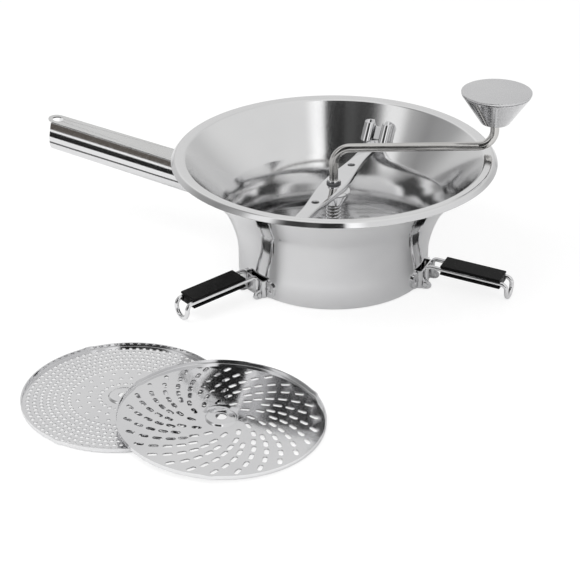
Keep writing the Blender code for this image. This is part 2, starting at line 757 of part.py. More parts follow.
def arm_direction():
    angle = math.radians(ARM_AZIMUTH_DEG)
    return Vector((math.cos(angle), math.sin(angle), 0))


def knob_centre():
    return arm_direction() * ARM_REACH


def build_crank(steel, crank, lift_frame):
    end = knob_centre()
    corners = [
        (0, 0, ROD_FOOT_HEIGHT),
        (0, 0, ARM_HEIGHT),
        (end.x, end.y, ARM_HEIGHT),
        (end.x, end.y, ROD_HEAD_HEIGHT),
    ]
    path = bend_path(corners, (ARM_BEND_RADIUS, ARM_BEND_RADIUS), ROD_BEND_STEPS)
    add_tube("crank_rod", path, ROD_RADIUS, ROD_ROUND_STEPS, steel, crank, lift_frame)
    collar = ring_outline(BORE_RADIUS, COLLAR_RADIUS, BUSHING_TOP + SEAT_GAP, COLLAR_LENGTH)
    finish_mesh("shaft_collar", turn_profile(collar, FITTING_SIDES), steel, crank)
    hub = ring_outline(BORE_RADIUS, HUB_RADIUS, BLADE_FLOOR, HUB_TOP_HEIGHT - BLADE_FLOOR)
    finish_mesh("blade_hub", turn_profile(hub, FITTING_SIDES), steel, crank)
    build_blade(steel, crank)
    retainer = ring_outline(BORE_RADIUS, KNOB_RETAINER_RADIUS, RETAINER_FLOOR, KNOB_RETAINER_THICKNESS)
    solid = turn_profile(retainer, FITTING_SIDES, (end.x, end.y))
    finish_mesh("knob_retainer", solid, steel, crank)


def ring_outline(inner, outer, floor, height):
    return [(inner, floor), (outer, floor), (outer, floor + height), (inner, floor + height)]


def blade_height(share):
    """The blade lies on the disc for its first part and then rises along a smooth ramp."""
    if share <= BLADE_FLAT_SHARE:
        return BLADE_FLOOR
    climb = (share - BLADE_FLAT_SHARE) / (1 - BLADE_FLAT_SHARE)
    return BLADE_FLOOR + BLADE_RISE * climb ** BLADE_RAMP_POWER


def build_blade(steel, crank):
    inner = HUB_RADIUS + SEAT_GAP
    rings = []
    for step in range(BLADE_STEPS + 1):
        share = step / BLADE_STEPS
        angle = math.radians(BLADE_START_DEG + BLADE_SPAN_DEG * share)
        floor = blade_height(share)
        lower = []
        upper = []
        for ring in range(BLADE_RINGS + 1):
            radius = inner + (BLADE_RADIUS - inner) * ring / BLADE_RINGS
            lower.append(polar(radius, angle, floor))
            upper.append(polar(radius, angle, floor + BLADE_SHEET))
        rings.append(lower + upper[::-1])
    finish_mesh("agitator_blade", loft_rings(rings), steel, crank)


# Knob

def build_knob(steel, satin, nylon, knob):
    centre = knob_centre()
    frame = (centre.x, centre.y, 0)
    middle_radius = KNOB_FOOT_RADIUS - KNOB_SHEET / 2
    floor = KNOB_FOOT_HEIGHT + KNOB_SHEET / 2
    middle = [
        (KNOB_BUSH_RADIUS + PIN_GAP, floor),
        (middle_radius - KNOB_CORNER, floor),
        (middle_radius, floor + KNOB_CORNER),
        (KNOB_EDGE_RADIUS - KNOB_SHEET / 2, KNOB_EDGE_HEIGHT - KNOB_SHEET / 2),
    ]
    solid = turn_profile(sheet_outline(middle, KNOB_SHEET), KNOB_SIDES, frame)
    finish_mesh("knob_shell", solid, steel, knob, frame)
    floor = KNOB_EDGE_HEIGHT + SEAT_GAP
    edge = KNOB_EDGE_RADIUS + KNOB_CAP_OVERHANG
    cap = [
        (0, floor),
        (edge, floor),
        (edge, floor + KNOB_CAP_THICKNESS - KNOB_CAP_ROUND),
        (edge - KNOB_CAP_ROUND, floor + KNOB_CAP_THICKNESS),
        (0, floor + KNOB_CAP_THICKNESS),
    ]
    finish_mesh("knob_cap", turn_solid(cap, KNOB_SIDES, frame), satin, knob, frame)
    bush = ring_outline(BORE_RADIUS, KNOB_BUSH_RADIUS, KNOB_FOOT_HEIGHT, KNOB_BUSH_TOP - KNOB_FOOT_HEIGHT)
    finish_mesh("knob_bush", turn_profile(bush, FITTING_SIDES, frame), nylon, knob, frame)


# Spring

def spring_path():
    """A coil with a straight tail, one wire thick, square to the face at each end."""
    foot = SPRING_FOOT + SPRING_WIRE
    head = SPRING_HEAD - SPRING_WIRE
    count = SPRING_CURLS * SPRING_POINTS_PER_CURL
    path = [Vector((SPRING_RADIUS, 0, SPRING_FOOT))]
    for index in range(count + 1):
        angle = 2 * math.pi * index / SPRING_POINTS_PER_CURL
        height = foot + (head - foot) * index / count
        path.append(polar(SPRING_RADIUS, angle, height))
    angle = 2 * math.pi * SPRING_CURLS
    path.append(polar(SPRING_RADIUS, angle, SPRING_HEAD))
    return path


def least_coil_gap(path):
    """The least free space between one curl and the next, measured on points."""
    least = math.inf
    for index, point in enumerate(path):
        for other in path[index + SPRING_POINTS_PER_CURL // 2:]:
            least = min(least, (other - point).length)
    return least - SPRING_WIRE


def build_spring(steel, lift):
    path = spring_path()
    print("least gap of the spring to itself, mm:", round(least_coil_gap(path) / MM, 3))
    add_tube("pressure_spring", path, SPRING_WIRE / 2, SPRING_ROUND_STEPS, steel, lift, (0, 0, 0))
    washer = ring_outline(BORE_RADIUS, WASHER_RADIUS, WASHER_FLOOR, WASHER_THICKNESS)
    finish_mesh("thrust_washer", turn_profile(washer, FITTING_SIDES), steel, lift)


# Discs

def disc_place(along, across, side, rise):
    """Fold a disc's flat pattern: the boss is pressed up and the outer part stands up as the rim."""
    half = side * DISC_SHEET / 2
    crease = DISC_RADIUS - DISC_SHEET / 2
    radius = math.hypot(along, across)
    if radius < DISC_BOSS_RADIUS + CREASE_WELD:
        return Vector((along, across, DISC_SHEET / 2 + half + rise))
    if radius < crease - CREASE_WELD:
        return Vector((along, across, DISC_SHEET / 2 + half))
    scale = (crease - half) / radius
    height = DISC_SHEET / 2 + half
    if radius > crease + CREASE_WELD:
        height = DISC_SHEET / 2 + radius - crease
    return Vector((along * scale, across * scale, height))


def disc_body(holes, rise=0):
    crease = DISC_RADIUS - DISC_SHEET / 2
    outline = circle_points(crease + DISC_RIM_HEIGHT - DISC_SHEET / 2, DISC_SIDES)
    rings = [circle_points(crease, DISC_SIDES)]
    if rise:
        rings.append(circle_points(DISC_BOSS_RADIUS, FITTING_SIDES))
        rings.append(circle_points(DISC_BOSS_RADIUS + DISC_BOSS_SLOPE, FITTING_SIDES))
    creases = [ring + ring[:1] for ring in rings]
    bore = circle_points(DISC_BORE_RADIUS, FITTING_SIDES)
    return sheet_body(outline, [bore] + holes, creases, lambda *spot: disc_place(*spot, rise))


def ring_holes(radius, first_ring, rings, first_count, count_step):
    """Small holes on circles, each circle turned half a step from the last."""
    holes = []
    for ring in range(rings):
        reach = first_ring + (DISC_FIELD_RADIUS - radius - first_ring) * ring / (rings - 1)
        count = first_count + count_step * ring
        for index in range(count):
            angle = 2 * math.pi * (index + ring / 2) / count
            centre = (reach * math.cos(angle), reach * math.sin(angle))
            holes.append(circle_points(radius, HOLE_SIDES, centre, angle))
    return holes



def spiral_slots():
    """Oblong slots along curved arms, each slot leaning across its arm."""
    holes = []
    last_ring = DISC_FIELD_RADIUS - SLOT_HALF_LENGTH
    for arm in range(SLOT_ARMS):
        for index in range(SLOTS_PER_ARM):
            share = index / (SLOTS_PER_ARM - 1)
            reach = SLOT_FIRST_RING + (last_ring - SLOT_FIRST_RING) * share
            angle = 2 * math.pi * arm / SLOT_ARMS + math.radians(SLOT_ARM_SWEEP_DEG) * share
            lean = angle + math.radians(SLOT_TILT_DEG)
            centre = Vector((reach * math.cos(angle), reach * math.sin(angle)))
            length = Vector((math.cos(lean), math.sin(lean))) * SLOT_HALF_LENGTH
            width = Vector((-math.sin(lean), math.cos(lean))) * SLOT_HALF_WIDTH
            near = (centre - length - width, centre - length + width)
            far = (centre + length + width, centre + length - width)
            holes.append([tuple(corner) for corner in near + far])
    return holes


def build_discs(steel, root, fine_frame, coarse_frame):
    medium = ring_holes(
        MEDIUM_HOLE_RADIUS, MEDIUM_FIRST_RING, MEDIUM_RINGS, MEDIUM_FIRST_COUNT, MEDIUM_COUNT_STEP)
    solid = disc_body(medium)
    bmesh.ops.translate(solid, vec=(0, 0, DISC_FLOOR), verts=solid.verts)
    finish_mesh("disc_medium", solid, steel, root)
    fine = ring_holes(FINE_HOLE_RADIUS, FINE_FIRST_RING, FINE_RINGS, FINE_FIRST_COUNT, FINE_COUNT_STEP)
    finish_mesh("disc_fine", disc_body(fine, DISC_BOSS_RISE), steel, fine_frame)
    slotted = disc_body(spiral_slots(), DISC_BOSS_RISE)
    coarse = finish_mesh("disc_coarse", slotted, steel, coarse_frame)
    # The coarse disc leans on the fine disc's rim, about the axis square to the line between them
    between = Vector((COARSE_DISC_X - FINE_DISC_X, COARSE_DISC_Y - FINE_DISC_Y, 0)).normalized()
    axis = Vector((-between.y, between.x, 0))
    coarse.rotation_mode = "QUATERNION"
    coarse.rotation_quaternion = Matrix.Rotation(COARSE_DISC_TILT, 3, axis).to_quaternion()


# Legs

def leg_path():
    """One bail: pin, riser, knee, arm and hook, across and back again on the other side."""
    fall = math.tan(math.radians(LEG_FALL_DEG))
    knee = (LEG_PIVOT_REACH, LEG_HALF_WIDTH, LEG_KNEE_HEIGHT)
    hook_top = LEG_KNEE_HEIGHT - fall * (LEG_HOOK_REACH - LEG_PIVOT_REACH)
    bow_height = LEG_WIRE_RADIUS + LEG_HALF_WIDTH
    pin_end = EAR_HALF_SPAN + EAR_SHEET + LEG_PIN_PROUD
    corners = [
        (LEG_PIVOT_REACH, pin_end, LEG_PIVOT_HEIGHT),
        (LEG_PIVOT_REACH, LEG_HALF_WIDTH, LEG_PIVOT_HEIGHT),
        knee,
        (LEG_HOOK_REACH, LEG_HALF_WIDTH, hook_top),
        (LEG_HOOK_REACH, LEG_HALF_WIDTH, bow_height),
    ]
    hook_bend = (hook_top - bow_height) * HOOK_BEND_SHARE
    side = bend_path(corners, (LEG_WIRE_RADIUS, LEG_KNEE_BEND, hook_bend), LEG_BEND_STEPS)
    bow = []
    for step in range(1, LEG_BOW_STEPS):
        angle = math.pi * step / LEG_BOW_STEPS
        across = LEG_HALF_WIDTH * math.cos(angle)
        bow.append(Vector((LEG_HOOK_REACH, across, bow_height - LEG_HALF_WIDTH * math.sin(angle))))
    mirrored = [Vector((point.x, -point.y, point.z)) for point in reversed(side)]
    return side + bow + mirrored



def leg_turned(solid, azimuth):
    bmesh.ops.rotate(solid, cent=(0, 0, 0), matrix=Matrix.Rotation(azimuth, 3, "Z"), verts=solid.verts)
    return solid


def pad_section():
    """An H on its side: two flanges joined by a block, with a groove for each wire."""
    groove = LEG_WIRE_RADIUS + SEAT_GAP
    edge = groove + PAD_FLANGE
    core = LEG_HALF_WIDTH - LEG_WIRE_RADIUS - SEAT_GAP
    wide = PAD_HALF_WIDTH
    lip = groove + PAD_DRAFT
    upper = [(core, groove), (wide, lip), (wide, edge), (-wide, edge), (-wide, lip), (-core, groove)]
    lower = [(-across, -height) for across, height in upper]
    return upper + lower


def build_leg(letter, azimuth, steel, rubber, leg, frame):
    turn = Matrix.Rotation(azimuth, 3, "Z")
    path = [turn @ point for point in leg_path()]
    add_tube("leg_wire_" + letter, path, LEG_WIRE_RADIUS, WIRE_ROUND_STEPS, steel, leg, frame)
    fall = math.tan(math.radians(LEG_FALL_DEG))
    rings = []
    for reach in (PAD_START_REACH, PAD_START_REACH + PAD_LENGTH):
        height = LEG_KNEE_HEIGHT - fall * (reach - LEG_PIVOT_REACH)
        rings.append([Vector((reach, across, height + up)) for across, up in pad_section()])
    solid = leg_turned(loft_rings(rings), azimuth)
    finish_mesh("leg_pad_" + letter, solid, rubber, leg, frame)


def bracket_plate(azimuth):
    """A flat face in front of the wires' risers, with both sides folded back to the wall."""
    wall = math.sqrt(FOOT_RADIUS ** 2 - BRACKET_HALF_WIDTH ** 2) + BRACKET_WALL_GAP
    face = BRACKET_FACE - BRACKET_SHEET / 2
    foot = BRACKET_HALF_WIDTH - BRACKET_SHEET / 2
    bend = foot - BRACKET_TAPER
    middle = [(wall, -foot), (face, -bend), (face, bend), (wall, foot)]
    section = sheet_outline(middle, BRACKET_SHEET)
    rings = []
    for height in (BRACKET_LOW, CYLINDER_HEIGHT + BRACKET_OVER):
        rings.append([Vector((reach, across, height)) for reach, across in section])
    return leg_turned(loft_rings(rings), azimuth)


def ear_body(sign, azimuth):
    """A hinge ear: a tongue out of the bracket's face with a round end and a pin hole."""
    root = BRACKET_FACE - BRACKET_SHEET * EAR_ROOT_SHARE
    outline = [(root, LEG_PIVOT_HEIGHT - EAR_RADIUS)]
    for step in range(EAR_STEPS + 1):
        angle = math.pi * step / EAR_STEPS - math.pi / 2
        outline.append((
            LEG_PIVOT_REACH + EAR_RADIUS * math.cos(angle),
            LEG_PIVOT_HEIGHT + EAR_RADIUS * math.sin(angle),
        ))
    outline.append((root, EAR_NECK_HEIGHT))
    hole = circle_points(LEG_WIRE_RADIUS + PIN_GAP, EAR_STEPS, (LEG_PIVOT_REACH, LEG_PIVOT_HEIGHT))

    def place(reach, height, side):
        across = EAR_HALF_SPAN + (EAR_SHEET if side > 0 else 0)
        return Vector((reach, sign * across, height))

    return leg_turned(sheet_body(outline, [hole], [], place), azimuth)



def build_bracket(letter, azimuth, steel, root):
    plate = finish_mesh("leg_bracket_" + letter, bracket_plate(azimuth), steel, root)
    for sign, side in ((1, "left"), (-1, "right")):
        ear = finish_mesh("ear_" + letter + "_" + side, ear_body(sign, azimuth), steel, root)
        ear.hide_render = True
        ear.display_type = "WIRE"
        union = plate.modifiers.new("ear_" + side, "BOOLEAN")
        union.operation = "UNION"
        union.solver = "MANIFOLD"
        union.object = ear
        build_strap(letter, side, azimuth, sign, steel, root)


def build_strap(letter, side, azimuth, sign, steel, root):
    """A flat strap up the bowl's wall beside the bracket, from the foot to under the lip."""
    offset = (BRACKET_HALF_WIDTH + SEAT_GAP + STRAP_WIDTH / 2) / FOOT_RADIUS
    angle = azimuth + sign * offset
    outward = Vector((math.cos(angle), math.sin(angle), 0))
    across = Vector((-math.sin(angle), math.cos(angle), 0))
    heights = [STRAP_LOW] + [height for _, height in flare_line()] + [STRAP_HIGH]
    rings = []
    for height in heights:
        ring = []
        near = wall_radius(height, HALF_SHELL + SEAT_GAP)
        far = wall_radius(height, HALF_SHELL + SEAT_GAP + STRAP_SHEET)
        for radius, share in ((near, -1), (near, 1), (far, 1), (far, -1)):
            ring.append(outward * radius + across * share * STRAP_WIDTH / 2 + Vector((0, 0, height)))
        rings.append(ring)
    finish_mesh("leg_strap_" + letter + "_" + side, loft_rings(rings), steel, root)


def stand_on_origin(root):
    """Move the whole set so that its box stands centred on the origin."""
    bpy.context.view_layer.update()
    graph = bpy.context.evaluated_depsgraph_get()
    points = []
    for item in bpy.data.objects:
        if item.type == "EMPTY" or item.hide_render:
            continue
        built = item.evaluated_get(graph)
        points.extend(built.matrix_world @ vertex.co for vertex in built.to_mesh().vertices)
        built.to_mesh_clear()
    middle_x = (min(point.x for point in points) + max(point.x for point in points)) / 2
    middle_y = (min(point.y for point in points) + max(point.y for point in points)) / 2
    root.location = (-middle_x, -middle_y, -min(point.z for point in points))
    bpy.context.view_layer.update()
    for item in bpy.data.objects:
        if item.type == "EMPTY":
            place = item.matrix_world.translation
            print(item.name, [round(value, 6) for value in place])


def main():
    clear_scene()
    steel = make_material("polished_steel", STEEL, 1, 0.12)
    satin = make_material("satin_steel", SATIN, 1, 0.35)
    rubber = make_material("black_rubber", RUBBER, 0, 0.35)
    nylon = make_material("dark_nylon", NYLON, 0, 0.45)
    root = make_pivot("mill", (0, 0, 0))
    bridge = make_pivot("bridge_turn", (0, 0, 0), root)
    lift = make_pivot("press_lift", (0, 0, 0), bridge)
    crank = make_pivot("crank_spin", (0, 0, 0), lift)
    centre = knob_centre()
    knob = make_pivot("knob_spin", (centre.x, centre.y, 0), crank)
    build_bowl(steel, root)
    build_handle(steel, root)
    build_catch("catch_back", 1, steel, root)
    build_catch("catch_front", -1, steel, root)
    build_bar(steel, bridge)
    build_bridge_fittings(steel, nylon, bridge)
    build_spring(steel, lift)
    build_crank(steel, crank, (0, 0, 0))
    build_knob(steel, satin, nylon, knob)
    fine = make_pivot("fine_disc_lift", (FINE_DISC_X, FINE_DISC_Y, 0), root)
    step = (COARSE_DISC_X - FINE_DISC_X, COARSE_DISC_Y - FINE_DISC_Y, COARSE_DISC_LIFT)
    coarse = make_pivot("coarse_disc_lift", step, fine)
    build_discs(steel, root, fine, coarse)
    for letter, degrees in zip(LEG_LETTERS, LEG_AZIMUTHS_DEG):
        azimuth = math.radians(degrees)
        frame = polar(LEG_PIVOT_REACH, azimuth, LEG_PIVOT_HEIGHT)
        leg = make_pivot("leg_fold_" + letter, frame, root)
        build_bracket(letter, azimuth, steel, root)
        build_leg(letter, azimuth, steel, rubber, leg, frame)
    stand_on_origin(root)


main()
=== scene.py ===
import math

import bmesh
import bpy
from mathutils import Matrix, Vector, kdtree
from mathutils.geometry import delaunay_2d_cdt


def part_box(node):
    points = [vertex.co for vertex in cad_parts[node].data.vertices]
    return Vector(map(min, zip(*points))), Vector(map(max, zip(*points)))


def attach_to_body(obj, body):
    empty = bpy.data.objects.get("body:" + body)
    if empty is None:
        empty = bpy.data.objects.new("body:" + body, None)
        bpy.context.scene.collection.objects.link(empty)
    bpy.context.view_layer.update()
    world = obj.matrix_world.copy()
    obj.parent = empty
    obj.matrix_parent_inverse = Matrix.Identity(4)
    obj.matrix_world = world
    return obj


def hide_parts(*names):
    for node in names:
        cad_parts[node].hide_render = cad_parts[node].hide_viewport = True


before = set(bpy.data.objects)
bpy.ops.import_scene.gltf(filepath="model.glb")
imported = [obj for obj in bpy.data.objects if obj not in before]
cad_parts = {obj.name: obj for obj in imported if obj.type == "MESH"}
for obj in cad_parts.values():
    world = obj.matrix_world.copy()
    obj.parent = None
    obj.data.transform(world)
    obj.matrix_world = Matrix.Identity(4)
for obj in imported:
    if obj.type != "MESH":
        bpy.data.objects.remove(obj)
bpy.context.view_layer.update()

MM = 0.001

# Bowl
SHELL = 1.0 * MM
FOOT_RADIUS = 74.45 * MM
SEAT_RADIUS = 64.0 * MM
FOOT_CORNER = 1.6 * MM
CYLINDER_HEIGHT = 19.0 * MM
FLARE_TOP_RADIUS = 86.8 * MM
FLARE_TOP_HEIGHT = 60.0 * MM
FLARE_LOWER_PULL = 9.0 * MM
FLARE_UPPER_PULL = 14.0 * MM
FLARE_UPPER_LEAN_SHARE = 0.6
FLARE_STEPS = 20
CREASE_RADIUS = 114.5 * MM
CREASE_HEIGHT = 94.9 * MM
CREASE_BEND = 3.0 * MM
RIM_RADIUS = 121.3 * MM
RIM_HEIGHT = 96.1 * MM
RIM_BEND = 2.6 * MM
LIP_RADIUS = 124.5 * MM
LIP_HEIGHT = 92.2 * MM
RIM_STEPS = 12
BOWL_SIDES = 256

# Handle
EYE_REACH = 241.6 * MM
EYE_HEIGHT = 87.6 * MM
HANDLE_RISE = math.radians(8.1)
ROOT_WIDTH = 21.5 * MM
TIP_WIDTH = 15.6 * MM
ROOT_DEPTH = 27.8 * MM
TIP_DEPTH = 27.0 * MM
HANDLE_SHEET = 1.2 * MM
EYE_RADIUS = 4.4 * MM
CHANNEL_PAST_EYE = 2.4 * MM
CHANNEL_WALL_SHARE = 0.42
CHANNEL_BULGE = 0.13
CHANNEL_WALL_STEPS = 10
ROOT_GAP = 0.55 * MM
CHANNEL_STEPS = 32
MOUNT_WIDTH = 38.0 * MM
MOUNT_SHEET = 1.2 * MM
MOUNT_LOW = 34.0 * MM
MOUNT_HIGH = 76.0 * MM
MOUNT_STEPS = 32

# Bridge
BAR_TOP = 71.5 * MM
BAR_SHEET = 1.2 * MM
BAR_END_HALF = 5.4 * MM
BAR_MID_HALF = 9.8 * MM
BAR_DROP = 3.5 * MM
BAR_BEND = 1.6 * MM
BAR_LEAF_HALF_LENGTH = 58.0 * MM
BAR_HOLE_REACH = 37.8 * MM
BAR_HOLE_RADIUS = 3.0 * MM
BAR_STATIONS = 48
CATCH_HALF = 11.7 * MM
CATCH_SHEET = 1.1 * MM
CATCH_CURL = 3.7 * MM
CATCH_CURL_DEG = 265.0
CATCH_TOP = 84.2 * MM
CATCH_STEPS = 28
CATCH_FLAT_STEPS = 9
CATCH_NOTCH = 4.2 * MM
CATCH_NOTCH_HALF = 4.6 * MM
CATCH_NOTCH_POWER = 4

# Crank and knob
ROD_RADIUS = 3.4 * MM
ROD_FOOT = 1.0 * MM
ARM_HEIGHT = 100.6 * MM
ARM_REACH = 122.5 * MM
ARM_BEND = 12.5 * MM
ARM_AZIMUTH = math.radians(24.3)
ROD_STEPS = 24
KNOB_FOOT = 119.6 * MM
KNOB_FOOT_RADIUS = 11.0 * MM
KNOB_CORNER = 1.6 * MM
KNOB_EDGE_HEIGHT = 143.2 * MM
KNOB_EDGE_RADIUS = 26.4 * MM
KNOB_SHEET = 1.1 * MM
CAP_THICKNESS = 1.7 * MM
CAP_OVERHANG = 0.4 * MM
CAP_ROUND = 0.6 * MM
CAP_STEPS = 8
KNOB_BUSH_RADIUS = 6.0 * MM
KNOB_BUSH_TOP = 135.0 * MM
RETAINER_RADIUS = 5.4 * MM
RETAINER_THICKNESS = 1.2 * MM
KNOB_SIDES = 128

# Shaft fittings
COLLAR_RADIUS = 5.0 * MM
COLLAR_LENGTH = 2.0 * MM
BUSHING_RADIUS = 4.7 * MM
BUSHING_FLANGE_RADIUS = 5.6 * MM
BUSHING_FLANGE = 1.0 * MM
HUB_RADIUS = 5.8 * MM
HUB_TOP = 17.0 * MM
WASHER_RADIUS = 8.0 * MM
WASHER_THICKNESS = 1.2 * MM
CUP_TOP_RADIUS = 14.4 * MM
CUP_FOOT_RADIUS = 7.9 * MM
CUP_HEIGHT = 11.4 * MM
CUP_SHEET = 1.0 * MM
CUP_BEND = 1.6 * MM
FITTING_SIDES = 72
SPRING_RADIUS = 5.3 * MM
SPRING_WIRE = 1.3 * MM
SPRING_CURLS = 16
SPRING_POINTS = 32

# Blade
BLADE_SHEET = 1.2 * MM
BLADE_RADIUS = 65.5 * MM
BLADE_START = math.radians(200.0)
BLADE_SPAN = math.radians(215.0)
BLADE_FLAT_SHARE = 0.3
BLADE_RISE = 10.5 * MM
BLADE_RAMP_POWER = 1.3
BLADE_STEPS = 72
BLADE_RINGS = 6

# Discs
DISC_RADIUS = 71.0 * MM
DISC_SHEET = 0.9 * MM
DISC_RIM = 3.6 * MM
DISC_BEND = 1.3 * MM
DISC_BORE = 3.9 * MM
DISC_SIDES = 144
BOSS_RADIUS = 10.5 * MM
BOSS_SLOPE = 2.2 * MM
BOSS_RISE = 1.6 * MM
BUMP_REACH = 1.1 * MM
BUMP_HALF = math.radians(5.0)
FINE_BUMPS_DEG = (139.0, 259.0, 19.0)
COARSE_BUMPS_DEG = (49.0, 169.0, 289.0)
FINE_HOLE = 1.45 * MM
FINE_ZONES = (
    (17.0 * MM, 7.5 * MM, 3, 22),
    (38.0 * MM, 4.9 * MM, 3, 60),
    (52.2 * MM, 4.7 * MM, 4, 84),
)
MEDIUM_HOLE = 2.0 * MM
MEDIUM_ZONES = (
    (19.0 * MM, 7.5 * MM, 3, 22),
    (41.5 * MM, 6.2 * MM, 5, 44),
)
SLOT_HALF_LENGTH = 3.4 * MM
SLOT_HALF_WIDTH = 1.55 * MM
SLOT_TURN = math.radians(-40.0)
SLOT_ZONES = (
    (20.0 * MM, 8.0 * MM, 2, 12),
    (35.0 * MM, 6.9 * MM, 5, 26),
)
HOLE_SIDES = 12

# Legs
LEG_AZIMUTHS_DEG = (0.0, 120.0, 240.0)
LEG_LETTERS = ("a", "b", "c")
WIRE_RADIUS = 1.7 * MM
LEG_HALF_WIDTH = 7.0 * MM
PIVOT_REACH = 80.0 * MM
PIVOT_HEIGHT = 3.8 * MM
KNEE_HEIGHT = 18.3 * MM
LEG_FALL = math.tan(math.radians(3.9))
HOOK_REACH = 143.6 * MM
KNEE_BEND = 3.4 * MM
HOOK_BEND_SHARE = 0.9
PIN_PROUD = 0.5 * MM
WIRE_STEPS = 12
BOW_STEPS = 20
PAD_START = 91.0 * MM
PAD_LENGTH = 47.5 * MM
PAD_HALF_WIDTH = 8.9 * MM
PAD_FLANGE = 1.8 * MM
PAD_ROUND = 0.55 * MM
BRACKET_HALF = 12.4 * MM
BRACKET_SHEET = 1.3 * MM
BRACKET_HIGH = 15.0 * MM
BRACKET_LOW = 0.8 * MM
BRACKET_BEND = 1.8 * MM
BRACKET_SOFT = 0.35 * MM
EAR_SHEET = 1.3 * MM
EAR_RADIUS = 3.7 * MM
EAR_REACH = 4.9 * MM
EAR_NECK = 11.5 * MM
EAR_STEPS = 28
EAR_ROOT_SHARE = 0.6
WING_WIDTH = 6.8 * MM
WING_SHEET = 1.1 * MM
WING_LOW = 1.6 * MM
WING_HIGH = 14.2 * MM
WING_ROUND = 4.6 * MM
WING_ROUND_STEPS = 8
WING_CREASE_SHARES = (0.25, 0.5, 0.75)
WING_SOFT = 0.2 * MM
RIVET_HEIGHT = 6.2 * MM
RIVET_RADIUS = 1.7 * MM
RIVET_RISE = 0.8 * MM
RIVET_RINGS = 5
RIVET_SIDES = 24

# Fits
SEAT_GAP = 0.3 * MM
PIN_GAP = 0.3 * MM
SLIDE_GAP = 0.4 * MM
EDGE_SOFT = 0.25 * MM
BEND_STEPS = 6

HALF_SHELL = SHELL / 2
HANDLE_FOOT = EYE_HEIGHT - EYE_REACH * math.tan(HANDLE_RISE)
EYE_ALONG = EYE_REACH / math.cos(HANDLE_RISE)
CHANNEL_END = EYE_ALONG + CHANNEL_PAST_EYE
MOUNT_OFFSET = HALF_SHELL + SEAT_GAP + MOUNT_SHEET
BORE = ROD_RADIUS + PIN_GAP
DISC_FLOOR = SHELL + SEAT_GAP
BLADE_FLOOR = DISC_FLOOR + DISC_SHEET + SEAT_GAP
CUP_TOP = BAR_TOP - BAR_SHEET / 2 - BAR_DROP - SEAT_GAP
WASHER_FLOOR = HUB_TOP + SEAT_GAP
SPRING_FOOT = WASHER_FLOOR + WASHER_THICKNESS + SEAT_GAP
SPRING_HEAD = CUP_TOP - CUP_SHEET - SEAT_GAP
BUSHING_TOP = BAR_TOP + SEAT_GAP + BUSHING_FLANGE
RETAINER_FLOOR = KNOB_BUSH_TOP + SEAT_GAP
ROD_HEAD = RETAINER_FLOOR + RETAINER_THICKNESS + 1.0 * MM
BRACKET_FACE = PIVOT_REACH - WIRE_RADIUS - SEAT_GAP
EAR_SPAN = LEG_HALF_WIDTH + WIRE_RADIUS + SEAT_GAP


def middle_of(node):
    low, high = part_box(node)
    return (Vector(low) + Vector(high)) / 2


AXIS = Vector((middle_of("thrust_washer").x, middle_of("thrust_washer").y, 0))


# Materials

def new_material(name):
    material = bpy.data.materials.new(name)
    material.use_nodes = True
    return material, material.node_tree.nodes, material.node_tree.links


def add_noise(nodes, links, coordinates, scale, detail, stretch=(1, 1, 1)):
    mapping = nodes.new("ShaderNodeMapping")
    mapping.inputs["Scale"].default_value = stretch
    links.new(coordinates, mapping.inputs["Vector"])
    noise = nodes.new("ShaderNodeTexNoise")
    noise.inputs["Scale"].default_value = scale
    noise.inputs["Detail"].default_value = detail
    links.new(mapping.outputs["Vector"], noise.inputs["Vector"])
    return noise.outputs["Fac"]


def map_range(nodes, links, source, low, high, start=0.3, end=0.7):
    ranged = nodes.new("ShaderNodeMapRange")
    ranged.inputs["From Min"].default_value = start
    ranged.inputs["From Max"].default_value = end
    ranged.inputs["To Min"].default_value = low
    ranged.inputs["To Max"].default_value = high
    links.new(source, ranged.inputs["Value"])
    return ranged.outputs["Result"]


def add_bump(nodes, links, shader, height, strength, distance):
    bump = nodes.new("ShaderNodeBump")
    bump.inputs["Strength"].default_value = strength
    bump.inputs["Distance"].default_value = distance
    links.new(height, bump.inputs["Height"])
    links.new(bump.outputs["Normal"], shader.inputs["Normal"])


def make_metal(name, light, dark, smooth, rough, wave, grain_stretch=(1, 1, 1)):
    """Polished sheet: faint cloudiness, fine scratches in the gloss and a slight pressing wave."""
    material, nodes, links = new_material(name)
    shader = nodes["Principled BSDF"]
    shader.inputs["Metallic"].default_value = 1
    coordinates = nodes.new("ShaderNodeTexCoord").outputs["Object"]
    cloud = add_noise(nodes, links, coordinates, 18, 3)
    mix = nodes.new("ShaderNodeMix")
    mix.data_type = "RGBA"
    mix.inputs["A"].default_value = (*light, 1)
    mix.inputs["B"].default_value = (*dark, 1)
    links.new(map_range(nodes, links, cloud, 0, 1), mix.inputs["Factor"])
    links.new(mix.outputs["Result"], shader.inputs["Base Color"])
    grain = add_noise(nodes, links, coordinates, 900, 2, grain_stretch)
    links.new(map_range(nodes, links, grain, smooth, rough), shader.inputs["Roughness"])
    ripple = add_noise(nodes, links, coordinates, 14, 1)
    add_bump(nodes, links, shader, ripple, wave, 1.0 * MM)
    return material


